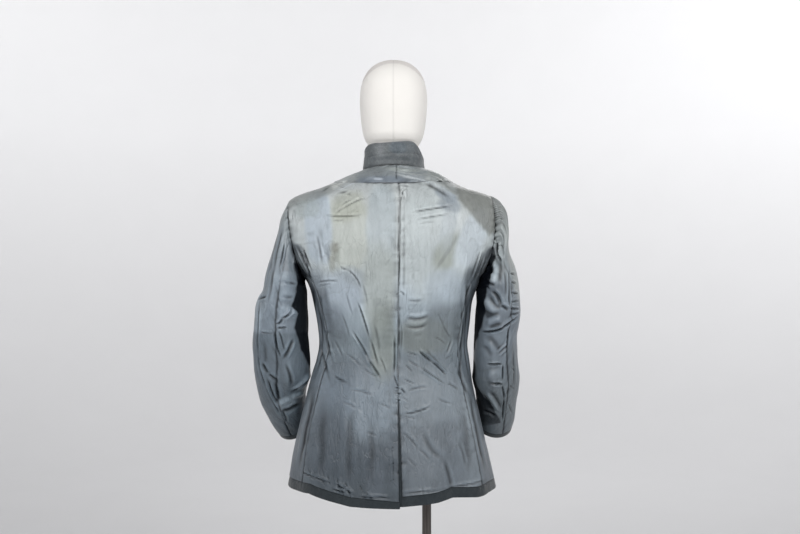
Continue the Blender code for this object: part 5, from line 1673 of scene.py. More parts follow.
def sleeve_rings(side, around):
    """Rings of points of a sleeve's outer face, from the armhole to the cuff."""
    hole = ARMHOLE[side]
    whole_reach = hole["rise"] / math.cos(math.radians(hole["tilt"]))
    start = (hole["tilt"], 0.0, whole_reach, 0.0, 1.0, ARMHOLE_TWIST[side])
    head = columns(HEAD_COLUMNS, (start, *HEAD_ROWS[side]))
    rings = []
    for row, lean in enumerate(np.radians(head["lean"])):
        twisted = around + head["twist"][row]
        shape, middle, half = armhole_shape(side, twisted)
        reach = head["inner"][row], head["outer"][row]
        if row == 0:
            centre, size = middle, half
        else:
            centre = np.array([sum(reach) / 2, 0.0])
            size = np.array([(reach[1] - reach[0]) / 2, head["half_depth"][row]])
        blend = head["armhole_shape"][row]
        flat = centre + (shape * blend + ring_directions(twisted) * (1 - blend)) * size
        out = flat[:, 0] * math.sin(lean) + blend * armhole_bow(side, flat[:, 0] / reach[1])
        up = flat[:, 0] * math.cos(lean)
        rings.append(np.stack([side * (hole["across"] + out), flat[:, 1], hole["height"] + up], -1))
    middle_across = side * (hole["across"] + sum(reach) / 2)
    last = middle_across, 0.0, (reach[1] - reach[0]) / 2, head["half_depth"][-1], head["twist"][-1]
    arm = columns(SLEEVE_COLUMNS, ((hole["height"], *last), *SLEEVE_ROWS[side]))
    down = -arm["height"]
    reads = np.linspace(down[0], down[-1], SLEEVE_ROWS_DOWN)
    line = {name: smooth(down, arm[name], reads) for name in SLEEVE_COLUMNS}
    middle_line = np.stack([line["across"], line["forward"], line["height"]], -1)
    heading = np.gradient(middle_line, axis=0)
    heading[0] = (0, 0, -1)
    heading = unit(heading)
    for row in range(1, len(reads)):
        sideways = np.array([side, 0.0, 0.0])
        sideways = unit(sideways - heading[row] * sideways.dot(heading[row]))
        forward = np.cross(heading[row], sideways)
        forward *= np.sign(forward[1])
        circle = ring_directions(around + line["twist"][row])
        width, depth = line["half_width"][row], line["half_depth"][row]
        rings.append(middle_line[row] + circle[:, :1] * width * sideways + circle[:, 1:] * depth * forward)
    return np.array(rings)


def fine_rings(rings, rows, less=0.0):
    """The same face with many rows, its last ring drawn back by less."""
    steps = np.linalg.norm(np.diff(rings, axis=0), axis=-1).mean(1)
    along = np.concatenate([[0.0], np.cumsum(steps)])
    return smooth(along, rings, np.linspace(0.0, along[-1] - less, rows))


print("armhole outlines have", len(OUTLINES[1]), "points")

# %% [markdown]
# The folds of a sleeve are named as seen from behind (across, height) and from the front. On the left
# sleeve the under half bulges in rolls above the elbow; on the right one a hard crease crosses the elbow.

# %% Folds of the sleeves
SLEEVE_FOLDS = {
    -1: {
        "back": (
            # rolls of the under half, raised
            (-240, 1238, -228, 1172, 2, 12, -3, 0.1, 0), (-246, 1213, -206, 1206, 2, 3, 1.8, 0.6, 0),
            (-240, 1184, -212, 1180, -2, 3.4, 1.4, 0.6, 0), (-244, 1150, -222, 1146, 3, 11, -2.6, 0.1, 0),
            (-250, 1122, -236, 1135, -3, 2.6, 2.8, 0.6, 0),
            (-238, 1134, -216, 1158, -4, 2.8, 3.6, 0.8, 0.3),
            (-228, 1148, -204, 1146, 2, 7.5, -3.6, 0.1, 0), (-232, 1300, -245, 1240, 2, 2, 2.2, 0.8, 0.3),
            # the elbow
            (-295, 1173, -270, 1181, 1, 2.4, 2.8, 0.7, 0), (-292, 1104, -254, 1103, 0, 1.8, 1.2, 0.5, 0.7),
            (-254, 1112, -240, 1046, -3, 2.2, 2.8, 0.6, 0.4), (-246, 1112, -233, 1056, 2, 2, 1.8, 0.6, 0),
            (-216, 1094, -240, 1044, 2, 3.2, 2.6, 0.7, 0), (-250, 1113, -226, 1115, 1, 2.4, 2.2, 0.6, 0),
            (-234, 1042, -226, 985, 2, 3.4, 1.8, 0.7, 0.3),
            # the fold that ends the shade, and the raised one under it
            (-190, 1016, -224, 972, 2, 3, 4.2, 0.9, -0.4), (-258, 936, -222, 958, 2, 7, -3.4, 0.2, 0),
            (-228, 957, -194, 966, 1, 6.4, -3, 0.2, 0), (-250, 924, -206, 944, -2, 5, 2, 0.6, 0),
            # the outer half
            (-288, 1038, -271, 1013, 1, 4, 2.6, 0.7, 0.3), (-272, 1014, -252, 996, 1, 3.8, 2.4, 0.7, 0.3),
            (-259, 998, -251, 948, 1, 4, 2.6, 0.7, 0), (-276, 1006, -248, 932, -2, 3, 3, 0.7, -0.3),
            (-287, 1174, -292, 1050, -3, 2.2, 2.4, 0.6, 0.3),
            (-294, 1060, -276, 980, -4, 2.2, 2.4, 0.6, 0.3), (-280, 990, -246, 910, -2, 2.2, 2, 0.6, 0.3),
            (-276, 1090, -280, 1010, 1, 5, 1, 0.6, 0), (-246, 930, -238, 896, 1, 3, 2, 0.7, 0),
            (-236, 1330, -256, 1240, -2, 3, 1.8, 0.7, 0), (-246, 1320, -270, 1220, -2, 3, 1.6, 0.7, 0),
            (-262, 1280, -284, 1190, -2, 3, 1.8, 0.7, 0), (-256, 1250, -268, 1160, 1, 3.4, 1.2, 0.7, 0),
        ),
        "front": (
            (-266, 1220, -216, 1204, 3, 7.5, -3.4, 0.5, 0), (-262, 1176, -208, 1168, 3, 8, -3.6, 0.5, 0),
            (-270, 1110, -206, 1128, 4, 3.6, 3.6, 0.8, 0.3), (-276, 1086, -216, 1080, -3, 3.6, 3, 0.8, 0),
            (-282, 1040, -224, 1014, 3, 4, 2.8, 0.8, 0), (-266, 1008, -216, 976, 3, 7, -3.4, 0.5, 0),
            (-250, 950, -206, 940, 2, 4, 2.6, 0.8, 0), (-240, 1330, -262, 1230, -2, 3.2, 1.8, 0.7, 0),
            (-228, 1310, -240, 1230, -2, 3.2, 1.8, 0.7, 0),
        ),
    },
    1: {
        "back": (
            # the crease across the elbow
            (188, 1106, 240, 1116, -3, 2.6, 4.8, 0.75, 0.3), (230, 1113, 270, 1139, 1, 2.6, 4.4, 0.75, 0.3),
            (196, 1124, 232, 1134, 2, 7, -3.6, 0.5, 0), (196, 1100, 230, 1062, 3, 7.5, 1.2, 0.5, 0),
            (192, 1078, 214, 1052, 2, 6, 1.2, 0.5, 0), (222, 1060, 246, 1084, 1, 2.4, -1.6, 0.6, 0),
            (226, 1052, 244, 1070, 1, 2.4, -1.4, 0.6, 0), (222.5, 1300, 230, 1255, -1, 2.6, 6.5, 0.7, 0.4),
            (206, 1304, 222, 1296, 1, 2.4, -2, 0.6, 0),
            # the upper half: a raised ridge and a pocket under it
            (217.5, 1260, 216, 1206, 1, 5.5, -3, 0.55, 0), (212, 1196, 230, 1162, 2, 4, 3.6, 0.7, 0.3),
            (228, 1163, 246, 1152, 1, 3.4, 3.4, 0.7, 0.3), (196, 1180, 222, 1146, -4, 7.5, -3.4, 0.5, 0),
            (200, 1212, 220, 1206, 1, 3.4, 2.4, 0.7, 0), (249, 1232, 262, 1228, 0, 2.2, 2.4, 0.8, 0),
            (250, 1214, 266, 1208, 0, 2.2, 2.2, 0.8, 0), (250, 1190, 272, 1186, 0, 2.4, 2.4, 0.8, 0),
            (250, 1170, 274, 1172, 0, 2.2, 2.2, 0.8, 0), (249, 1156, 274, 1154, 0, 2.2, 2.8, 0.8, 0),
            (252, 1143, 274, 1146, 0, 2, 2.4, 0.8, 0), (247, 1238, 250, 1150, -2, 2.2, 2.4, 0.6, 0.3),
            (236, 1240, 240, 1176, 1, 3, 1.4, 0.7, 0),
            # the forearm: a square pucker and the seam below it
            (246, 1116, 242, 1066, 1, 2, 2.6, 0.6, 0.3), (202, 1037, 236, 1036, 0, 2.2, 2.6, 0.6, 0),
            (235, 1038, 235, 998, 0, 2, 2.6, 0.6, 0), (204, 1016, 232, 1016, 0, 10, -2.6, 0.3, 0),
            (213, 998, 236, 991, 0, 2.6, 4, 0.6, 0), (234, 990, 240, 958, 1, 2, 3.2, 0.6, 0.3),
            (240, 964, 240, 902, 0, 2, 3.2, 0.6, 0.3), (200, 978, 234, 924, 0, 5, -3, 0.55, 0),
            (258, 1070, 262, 980, 1, 2.4, 1.4, 0.7, 0), (252, 1030, 268, 1016, 0, 2, 1.2, 0.7, 0),
            (250, 990, 266, 978, 0, 2, 1.2, 0.7, 0), (250, 950, 262, 920, 0, 2.4, 1.4, 0.7, 0),
            (196, 930, 226, 916, 1, 3, 2.4, 0.7, 0),
        ),
        "front": (
            (204, 1112, 262, 1128, 3, 2.8, 4.2, 0.75, 0.3), (210, 1084, 264, 1092, -2, 3.4, 2.8, 0.8, 0),
            (206, 1210, 262, 1198, 3, 8, -3.2, 0.5, 0), (206, 1166, 262, 1158, 3, 8, -3.4, 0.5, 0),
            (206, 1040, 262, 1026, 3, 4, 2.8, 0.8, 0), (208, 970, 258, 962, 2, 4, 2.6, 0.8, 0),
            (236, 1330, 262, 1230, 2, 3.2, 1.8, 0.7, 0),
        ),
    },
}
print({LABEL[side]: len(views["back"]) for side, views in SLEEVE_FOLDS.items()}, "folds behind")

# %% Colours of the sleeves
SLEEVE_STOPS = {
    -1: (
        (0.87, (70, 78, 85)), (0.92, (86, 96, 104)), (1.02, (92, 102, 111)), (1.10, (94, 104, 113)),
        (1.106, (120, 130, 140)), (1.20, (133, 143, 153)), (1.30, (146, 153, 158)), (1.40, (154, 158, 158)),
    ),
    1: (
        (0.87, (86, 93, 99)), (0.94, (100, 107, 112)), (1.05, (108, 116, 124)), (1.14, (112, 120, 129)),
        (1.22, (132, 139, 144)), (1.30, (152, 157, 158)), (1.40, (140, 142, 140)),
    ),
}
SLEEVE_PATCHES = {
    -1: (
        (-286, 1190, 16, 80, -8, 0.6, 0.8, (142, 152, 162)),
        (-262, 1240, 10, 90, -14, 0.6, 0.7, (98, 106, 113)),
        (-231, 1235, 14, 48, 0, 0.7, 0.6, (110, 118, 126)),
        # the next four are painted highlights, on the rolls of the under half and on the raised fold below
        # the elbow
        (-222, 1227, 14, 7, -10, 0.8, 0.6, (150, 160, 170)),
        (-238, 946, 24, 12, 20, 0.7, 0.7, (126, 136, 145)),
        (-222, 1186, 14, 7, -6, 0.8, 0.6, (146, 156, 166)),
        (-214, 962, 20, 8, 16, 0.8, 0.5, (120, 130, 138)),
        (-218, 1170, 20, 60, 0, 0.7, 0.6, (124, 134, 144)),
        (-236, 1060, 30, 50, 0, 0.7, 0.5, (108, 118, 127)),
    ),
    1: (
        (262, 1260, 16, 80, 10, 0.6, 0.8, (158, 162, 160)),
        (230, 1190, 20, 40, 0, 0.7, 0.6, (118, 127, 136)),
        (222, 1080, 22, 40, 0, 0.7, 0.5, (112, 121, 130)), (262, 1000, 10, 80, 0, 0.8, 0.6, (96, 101, 104)),
        # a painted highlight on the raised ridge of the upper half, then painted shade in the pocket under it
        (218.5, 1231, 7, 24, 0, 0.8, 0.8, (160, 168, 174)),
        (220, 1194, 16, 18, 0, 0.8, 0.75, (88, 96, 105)),
    ),
}
DEEP_SHADE = (14, 17, 22)
SHADE_COLUMNS = ("height", "edge", "strength")
SLEEVE_SHADE = {
    -1: (
        (0.972, 0.188, 0.0), (0.984, 0.190, 0.70), (0.997, 0.1964, 0.95), (1.022, 0.194, 0.95),
        (1.052, 0.2010, 0.95), (1.089, 0.2084, 0.95), (1.114, 0.2130, 0.95), (1.132, 0.2084, 0.95),
        (1.144, 0.2037, 0.95), (1.160, 0.2170, 0.96), (1.191, 0.2084, 0.96), (1.221, 0.2047, 0.96),
        (1.249, 0.2120, 0.94), (1.275, 0.218, 0.0),
    ),
    1: (
        (0.888, 0.190, 0.30), (0.901, 0.236, 0.72), (0.923, 0.227, 0.80), (0.942, 0.212, 0.88),
        (0.960, 0.1985, 0.92), (0.991, 0.1908, 0.93), (1.022, 0.1860, 0.93), (1.052, 0.1800, 0.92),
        (1.083, 0.1810, 0.92), (1.114, 0.1893, 0.95), (1.144, 0.1956, 0.96), (1.174, 0.2000, 0.98),
        (1.190, 0.2050, 0.98), (1.206, 0.2065, 0.98), (1.224, 0.2085, 0.98), (1.242, 0.2135, 0.98),
        (1.267, 0.219, 0.96), (1.290, 0.222, 0.0),
    ),
}


def sleeve_colour(side, point, normal, lift):
    """The colour of a sleeve, black where the body hides it from light."""
    across, height = point[..., 0], point[..., 2]
    colour = patches(gradient(height, SLEEVE_STOPS[side]), across, height, SLEEVE_PATCHES[side])
    colour = wear_and_fold_shading(colour, point, lift)
    behind = seen_from_behind(normal, 0.75)
    colour = colour + (corner_patches(colour, across, height, ARMHOLE_SHADE) - colour) * behind
    table = columns(SHADE_COLUMNS, SLEEVE_SHADE[side])
    edge, strength = (np.interp(height, table["height"], table[name]) for name in ("edge", "strength"))
    limit = edge + 0.0016 * noise(across / 0.02, height / 0.012, 61)
    shade = ease((limit - np.abs(across)) / 0.004 + 0.5) * strength
    return colour + (dye(DEEP_SHADE) - colour) * shade[..., None] * behind


print("shade ends at", SLEEVE_SHADE[1][-1][0], "m")

# %% Gathers and rolls of the sleeves
GATHERS = {
    -1: {"fade": 0.022, "groove": -0.0009, "height": 0.0014, "run": 0.0062, "reach": 0.05, "dark": 0.2},
    1: {"fade": 0.032, "groove": -0.0013, "height": 0.0022, "run": 0.0044, "reach": 0.022, "dark": 0.35},
}
HEAD_FROM, HEAD_REACH, HEAD_GROOVE, HEAD_LINE = 1.330, 0.040, 0.0028, 0.0016
# RIB_DARK is the painted shade between the ribs
RIB_RUN, RIB_HEIGHT, RIB_DARK = 0.00078, 0.0013, 0.45
ROLL_COLUMNS = ("height", "reach")
SLEEVE_ROLLS = {
    -1: (
        (0.955, 0.0), (0.972, 0.0030), (0.984, 0.0068), (1.002, 0.0128), (1.019, 0.0104), (1.035, 0.0085),
        (1.060, 0.0055), (1.100, 0.0020), (1.150, 0.0),
    ),
    1: (
        (0.950, 0.0), (0.967, 0.0020), (0.985, 0.0070), (1.002, 0.0100), (1.020, 0.0068), (1.060, 0.0028),
        (1.100, 0.0),
    ),
}


def head_ribs(side, point, away):
    """Where the very top of the right sleeve head is, and the fine ribs there."""
    if side < 0:
        return np.zeros(point.shape[:2]), np.zeros(point.shape[:2])
    top = ease((point[..., 2] - HEAD_FROM) / 0.02) * bell(away["foot"], HEAD_REACH)
    rib = np.sin(away["low"] / RIB_RUN + 2.2 * noise(away["low"] / 0.020, away["foot"] / 0.03, 131))
    return top, top * rib


def gather_lift(side, point):
    """The fullness of the sleeve head: small flutes that run out of the armhole seam."""
    away, gather = from_edges(point), GATHERS[side]
    fade = bell(away["foot"], gather["fade"])
    groove = gather["groove"] * bell(away["foot"], HEAD_GROOVE)
    flutes = gather["height"] * noise(away["low"] / gather["run"], away["foot"] / gather["reach"], 120 + side)
    top, ribs = head_ribs(side, point, away)
    return groove + fade * flutes * (1 - 0.8 * top) + RIB_HEIGHT * ribs


def sleeve_roll(side, height):
    """How far the cloth of the forearm swings in, towards the body, at a height."""
    table = columns(ROLL_COLUMNS, SLEEVE_ROLLS[side])
    return np.interp(height, table["height"], table["reach"])


def sleeve_soft(point):
    """The slow unevenness of a sleeve, rounder than that of the body."""
    across, forward, height = np.moveaxis(point, -1, 0)
    slow = 0.0013 * noise((across + forward) / 0.040, height / 0.045, 41)
    quick = 0.0005 * rough_noise((across + forward) / 0.014, height / 0.030, 43)
    return slow + quick


print("ribs stand", round(2 * math.pi * RIB_RUN / MM, 1), "mm apart")

# %% Sleeves
SLEEVE_FOLD_SHARE, SEAM_START = 1.3, 0.02


def outwards(point, normal):
    """The same directions, all turned out of the tube."""
    return normal if np.sum((point - point.mean(1, keepdims=True)) * normal) > 0 else -normal


def turned_out(normal, around, *faces):
    """The grids of a shell, their columns reversed if its faces would look inwards."""
    outer = faces[0]
    across = np.roll(outer, -1, 1) - outer if around else np.gradient(outer, axis=1)
    inwards = np.sum(np.cross(across, np.gradient(outer, axis=0)) * normal) < 0
    return [grid[:, ::-1] for grid in faces] if inwards else faces


def sleeve_tint(side, point, normal, lift):
    """The colour of a sleeve, darker along its seams, with painted shade between its ribs."""
    away = from_edges(point)
    dark = seam_line(point, ("low", "high")) * ease(away["foot"] / SEAM_START)
    dark = dark + GATHERS[side]["dark"] * bell(away["foot"], HEAD_LINE)
    dark = dark + RIB_DARK * np.clip(-head_ribs(side, point, away)[1], 0, 1)
    return sleeve_colour(side, point, normal, lift) * (1 - SEAM_DARK * np.clip(dark, 0, 1))[..., None]


def make_sleeve_piece(side, kind):
    wide, rows = SLEEVE_GRIDS[side, kind]
    point = fine_rings(sleeve_rings(side, np.linspace(*SLEEVE_TURNS[kind], wide)), rows, CUFF_BAND)
    normal = outwards(point, grid_normals(point, False))
    fold = SLEEVE_FOLD_SHARE * fold_lift(point, normal, SLEEVE_FOLDS[side])
    seam = seam_lift(point, ("low", "high"), 100 + side) * ease(from_edges(point)["foot"] / SEAM_START)
    seam += gather_lift(side, point)
    roll = underarm_roll(side, point, UNDERARM_ROLL["sleeve"]) + sleeve_roll(side, point[..., 2])
    lift = fold + seam + sleeve_soft(point) + roll * facing(normal, 0, -side)
    outer = point + normal * lift[..., None]
    tint = sleeve_tint(side, point, normal, fold + seam)
    name = f"{kind}_sleeve_{LABEL[side]}"
    faces = turned_out(normal, False, outer, outer - normal * WALL, tint)
    dress(name, cloth_mesh(name, *faces, (SATIN, INNER_WOOL)))
    note_cut(name, point)


for side in (-1, 1):
    for kind in SLEEVE_TURNS:
        make_sleeve_piece(side, kind)

# %% Cuff edges
CUFF_AROUND, CUFF_ROWS, CUFF_DIP, CUFF_DIP_REACH = 120, 8, 0.0010, 0.002


def make_cuff(side):
    around = np.linspace(0, 360, CUFF_AROUND + 1)[:-1]
    point = fine_rings(sleeve_rings(side, around), 300)
    steps = np.linalg.norm(np.diff(point, axis=0), axis=-1).mean(1)
    rows = int(round(CUFF_BAND / steps.mean())) + 1
    band = smooth(np.arange(rows), point[-rows:], np.linspace(0, rows - 1, CUFF_ROWS))
    normal = outwards(band, grid_normals(band, True))
    lift = -CUFF_DIP * bell(np.linspace(0, 1, CUFF_ROWS)[:, None] * CUFF_BAND, CUFF_DIP_REACH)
    outer = band + normal * lift[..., None]
    faces = turned_out(normal, True, outer, outer - normal * WALL, plain_colour(band))
    name = "cuff_edge_" + LABEL[side]
    piece = cloth_mesh(name, *faces, (WOOL, INNER_WOOL), around=True, round_off=0.9)
    dress(name, piece)
    note_cut(name, np.concatenate([band, band[:, :1]], 1))


for side in (-1, 1):
    make_cuff(side)

# %% [markdown]
# ## Thread marks on the front
#
# The lapping front has six worked buttonholes. Inside out, each is a slit with a rim of thread. The rim
# is a thin tube along a long oval that lies on the facing, notched all round by its stitches.

# %% Buttonholes
BUTTONHOLE_COUNT, BUTTONHOLE_LENGTH, BUTTONHOLE_IN = 6, 0.024, 0.017
BUTTONHOLE_LOW, BUTTONHOLE_HIGH = 0.97, 1.36
HALF_SLIT, THREAD_RADIUS, NOTCH = 0.0016, 0.0008, 0.22
TUBE_SIDES, TUBE_STEPS = 8, 96


def on_front(side, inwards, height):
    """Points on the finished face of a front, this far in from its edge, and the way it faces."""
    climb = np.full(inwards.shape, MIDDLE_CLIMB)
    for _ in range(12):
        edge = bare_point(lap_turn(side, climb), climb)[..., 0]
        turn = turn_at(edge + side * inwards, climb)
        climb = climb + height - bare_point(turn, climb)[..., 2]
    point, normal = cloth_point(turn, climb)
    lift = front_lift(side, turn, climb) + fold_lift(point, normal, BODY_FOLDS) + soft_lift(point)
    return point + normal * lift[..., None], normal


def make_buttonholes(side):
    lap = np.linspace(0, 2 * math.pi, TUBE_STEPS, endpoint=False)
    tubes = []
    for height in np.linspace(BUTTONHOLE_LOW, BUTTONHOLE_HIGH, BUTTONHOLE_COUNT):
        inwards = BUTTONHOLE_IN + BUTTONHOLE_LENGTH / 2 * (1 + np.cos(lap))
        up = height + HALF_SLIT * np.sign(np.sin(lap)) * np.abs(np.sin(lap)) ** 0.4
        line, normal = on_front(side, inwards, up)
        ahead = unit(np.roll(line, -1, 0) - np.roll(line, 1, 0))
        beside = unit(np.cross(normal, ahead))
        radius = THREAD_RADIUS * (1 + NOTCH * np.cos(lap * TUBE_STEPS / 4))
        for angle in np.arange(TUBE_SIDES) * 2 * math.pi / TUBE_SIDES:
            offset = beside * math.cos(angle) + normal * (math.sin(angle) * 0.7 + 0.1)
            tubes.append(line + offset * radius[:, None])
    tubes = np.array(tubes).reshape(BUTTONHOLE_COUNT, TUBE_SIDES, TUBE_STEPS, 3)
    at = np.arange(tubes.size // 3).reshape(tubes.shape[:3])
    beside, ahead = np.roll(at, -1, 1), np.roll(at, -1, 2)
    quads = np.stack([at, ahead, np.roll(beside, -1, 2), beside], -1).reshape(-1, 4)
    piece = link_mesh("buttonhole_stitches", tubes.reshape(-1, 3), quads, finishes=(THREAD,), sharp=180)
    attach(piece, "root")
    return piece


THREAD = Finish("buttonhole_thread", Base_Color=paint(78, 84, 84), Roughness=0.6, Sheen_Weight=0.3)
BUTTONHOLES = make_buttonholes(-1)
print(BUTTONHOLE_COUNT, "buttonholes,", TRIANGLES["buttonhole_stitches"], "triangles")

# %% [markdown]
# # The dress form
#
# The form is a padded torso and an egg-shaped head in cream jersey. Its shoulders are the tunic's own
# rings, dropped by the cloth's thickness. Both halves are sewn down the middle, and a seam like a cap's
# edge runs over the crown. Below, the pole enters through a round hole.

# %% Tables of the form
FORM_COLUMNS = ("side_height", "half", "back_height", "back", "front_height", "front")
FORM_LOW_ROWS = (
    (0.800, 0.150, 0.800, 0.095, 0.800, 0.095), (0.806, 0.164, 0.806, 0.108, 0.806, 0.108),
    (0.830, 0.172, 0.830, 0.115, 0.830, 0.115), (0.880, 0.172, 0.880, 0.117, 0.880, 0.119),
    (0.940, 0.165, 0.940, 0.111, 0.940, 0.117), (1.005, 0.154, 1.005, 0.101, 1.005, 0.110),
    (1.071, 0.146, 1.071, 0.094, 1.071, 0.104), (1.130, 0.149, 1.130, 0.099, 1.130, 0.109),
    (1.190, 0.160, 1.190, 0.109, 1.190, 0.117), (1.250, 0.172, 1.250, 0.114, 1.250, 0.119),
    (1.310, 0.183, 1.310, 0.111, 1.310, 0.113), (1.350, 0.190, 1.355, 0.104, 1.348, 0.104),
    (1.376, 0.190, 1.387, 0.094, 1.366, 0.095), (1.390, 0.184, 1.404, 0.086, 1.380, 0.087),
)
FORM_SHOULDER_RINGS = (15.0, 16.0, 17.0, 17.6)
FORM_NECK_ROWS = (
    (1.4490, 0.0595, 1.4560, 0.0465, 1.4190, 0.0560),
    (1.4700, 0.0555, 1.4720, 0.0455, 1.4500, 0.0540),
    (1.4985, 0.0540, 1.4985, 0.0470, 1.4985, 0.0540),
)
REST_GAP = 0.0014
HEAD_MIDDLE_FORWARD, HEAD_SHIFT_OVER, CROWN = 0.008, 0.06, 1.7000
EGG_COLUMNS = ("height", "half", "back", "front")
EGG_ROWS = (
    (1.4990, 0.0540, 0.047, 0.054), (1.5120, 0.0555, 0.050, 0.056), (1.5210, 0.0612, 0.060, 0.062),
    (1.5300, 0.0650, 0.069, 0.069), (1.5460, 0.0685, 0.077, 0.079), (1.5680, 0.0715, 0.083, 0.086),
    (1.5900, 0.0735, 0.087, 0.090), (1.6120, 0.0742, 0.088, 0.091), (1.6340, 0.0725, 0.085, 0.088),
    (1.6560, 0.0670, 0.078, 0.081), (1.6740, 0.0570, 0.066, 0.068), (1.6880, 0.0415, 0.048, 0.050),
    (1.6965, 0.0220, 0.026, 0.027), (CROWN, 0.00001, 0.00001, 0.00001),
)
POLE_ACROSS, POLE_RADIUS, POLE_INTO_FORM = 0.073, 0.010, 0.045
print("form up to", CROWN, "m")

# %% Form
JERSEY = Finish("cream_jersey", Roughness=0.82, Specular_IOR_Level=0.3, Sheen_Weight=0.15)
knit = JERSEY.grain(900, 700)
jersey_shade = (JERSEY.noise(JERSEY.position(), 18.0, 3.0) - 0.5) * 0.05 + (knit - 0.5) * 0.05 + 1.0
JERSEY.link(JERSEY.shaded(JERSEY.painted(), jersey_shade), "Base Color")
JERSEY.link(JERSEY.bump(knit, 0.0005, 0.5), "Normal")
# cream of the jersey, and the darker cream painted on the crown as shade
CREAM, SHADED_CROWN = dye((246, 243, 238)), dye((222, 216, 212))
TORSO_ROWS, HEAD_ROWS_UP = 90, 74
CAP_HEIGHT, CAP_DROP = 1.684, 7.5
GROOVE_WIDTH, GROOVE_DEPTH = 0.0016, 0.0008


def form_ring(row, turn):
    """A ring of the form from a row of its table."""
    size = dict(zip(FORM_COLUMNS, row))
    across, forward = squared(turn, size["half"], size["half"], size["back"], size["front"])
    cosine = np.cos(np.radians(turn))
    end = np.where(cosine > 0, size["back_height"], size["front_height"])
    return np.stack([across, forward, size["side_height"] + (end - size["side_height"]) * cosine**2], -1)


def loft(name, rings, colour):
    """A closed body through rings that draw together to a point at both ends."""
    rows, around = rings.shape[:2]
    at = np.arange(rows * around).reshape(rows, around)
    last = np.roll(at, -1, 1)
    quads = np.stack([at[:-1], last[:-1], last[1:], at[1:]], -1).reshape(-1, 4)
    piece = link_mesh(name, rings.reshape(-1, 3), quads, colour.reshape(-1, 3), (JERSEY,), sharp=60)
    dress(name, piece)
    print(name, TRIANGLES[name], "triangles")


def seamed(rings, grooves):
    """Rings pressed in along seams, given as each point's distance from every seam."""
    normal = grid_normals(rings, True)
    centre = rings.mean(1, keepdims=True)
    normal *= np.sign(np.sum((rings - centre) * normal, -1, keepdims=True) + 1e-12)
    depth = sum(bell(away, GROOVE_WIDTH) for away in grooves)
    return rings - normal * (GROOVE_DEPTH * depth)[..., None], depth


def make_torso(turn):
    rings = [form_ring(row, turn) for row in FORM_LOW_ROWS]
    for ring in FORM_SHOULDER_RINGS:
        point, normal = cloth_point(turn, np.full_like(turn, ring_climb(ring)))
        rings.append(point - normal * (WALL + REST_GAP))
    rings = fine_rings(np.array([*rings, *(form_ring(row, turn) for row in FORM_NECK_ROWS)]), TORSO_ROWS)
    rings, depth = seamed(rings, [np.abs(rings[..., 0]), np.abs(rings[..., 1])])
    sideways, forward = POLE_RADIUS * np.sin(np.radians(turn)), -POLE_RADIUS * np.cos(np.radians(turn))
    hole = np.stack([POLE_ACROSS + sideways, forward, np.full_like(turn, FORM_LOW_ROWS[0][0])], -1)
    roof = hole + np.array([0, 0, POLE_INTO_FORM + 0.0002])
    inside = roof.mean(0) + (roof - roof.mean(0)) * 0.001
    under = [hole + (rings[0] - hole) * share for share in (0.0, 0.06, 0.35, 0.7, 0.97)]
    lid = rings[-1].mean(0)
    cover = [lid + (rings[-1] - lid) * share for share in (0.97, 0.6, 0.001)]
    whole = np.array([inside, roof, *under, *rings, *cover])
    tint, first = np.ones(whole.shape) * CREAM, 2 + len(under)
    tint[first:first + len(rings)] *= (1 - 0.35 * np.clip(depth, 0, 1))[..., None]
    loft("form_torso", whole, tint)


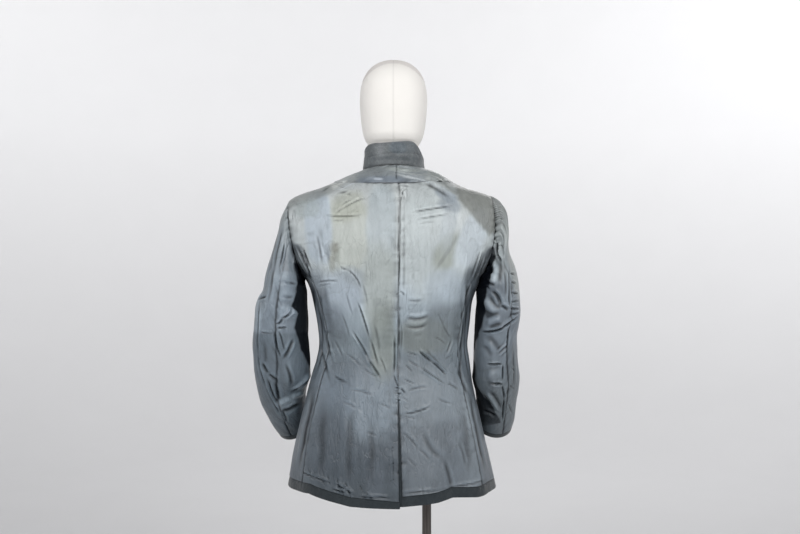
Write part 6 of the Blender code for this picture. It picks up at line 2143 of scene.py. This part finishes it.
def make_head(turn):
    table = columns(EGG_COLUMNS, EGG_ROWS)
    along = np.concatenate([[0.0], np.cumsum(np.hypot(np.diff(table["height"]), np.diff(table["half"])))])
    reads = np.linspace(0, along[-1], HEAD_ROWS_UP)
    size = {name: smooth(along, table[name], reads)[:, None] for name in EGG_COLUMNS}
    across, forward = squared(turn, size["half"], size["half"], size["back"], size["front"])
    forward = forward + HEAD_MIDDLE_FORWARD * ease((size["height"] - EGG_ROWS[0][0]) / HEAD_SHIFT_OVER)
    rings = np.stack([across, forward, size["height"] * np.ones_like(across)], -1)
    cap = rings[..., 2] - (CAP_HEIGHT - CAP_DROP * rings[..., 0] ** 2)
    rings, depth = seamed(rings, [np.abs(rings[..., 0]), np.abs(cap) * 1.6])
    # the crown above the cap seam is painted darker: painted shade on the top of the head
    above = ease((cap + 0.001) / 0.003)[..., None]
    tint = (CREAM + (SHADED_CROWN - CREAM) * above * 0.8) * (1 - 0.10 * np.clip(depth, 0, 1))[..., None]
    chin = rings[0].mean(0)
    base = [chin + (rings[0] - chin) * share for share in (0.001, 0.6, 0.97)]
    pale = np.ones((len(base), *rings.shape[1:])) * CREAM
    loft("form_head", np.array([*base, *rings]), np.concatenate([pale, tint]))


around_form = np.linspace(-180, 180, 145)[:-1]
make_torso(around_form)
make_head(around_form)

# %% [markdown]
# ## Pole and base
#
# The pole, its socket and the base plate keep their construction shapes. Dark satin enamel covers them,
# with paler streaks running along the pole.

# %% Stand
ENAMEL = Finish("dark_enamel", Metallic=0.55, Specular_IOR_Level=0.5, Coat_Weight=0.15, Coat_Roughness=0.3)
streaks = ENAMEL.grain(260, 5, 3.0, 0.6)
specks = ENAMEL.noise(ENAMEL.position(), 240.0, 2.0)
share = ENAMEL.ramp(streaks, (0.38, 0.0), (0.70, 1.0))
ENAMEL.link(ENAMEL.mix(share, paint(62, 58, 55), paint(104, 98, 95)), "Base Color")
ENAMEL.link((streaks - 0.5) * 0.25 + (specks - 0.5) * 0.10 + 0.42, "Roughness")
ENAMEL.link(ENAMEL.bump(specks, 0.0004, 0.35), "Normal")
for name in ("pole", "pole_socket", "base_plate"):
    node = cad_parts[name]
    node.data.materials.clear()
    node.data.materials.append(ENAMEL.material)
    node.data.shade_smooth()
    node.data.set_sharp_from_angle(angle=math.radians(30))
print("stand", len(node.data.vertices), "points in the plate")

# %% [markdown]
# # The cut of every cloth piece
#
# The flat size each cloth piece was cut to comes from its lattice: the longest run across, the longest
# run up and the area between. Here the pieces are counted and their area added up.

# %% Sheets
for name, (width, length, area) in CUTS.items():
    kind, _, label = name.rpartition("_")
    if label not in LABEL.values():
        kind = name
print(len(CUTS), "cloth pieces,", round(sum(area for _, _, area in CUTS.values()), 2), "m2 in all")
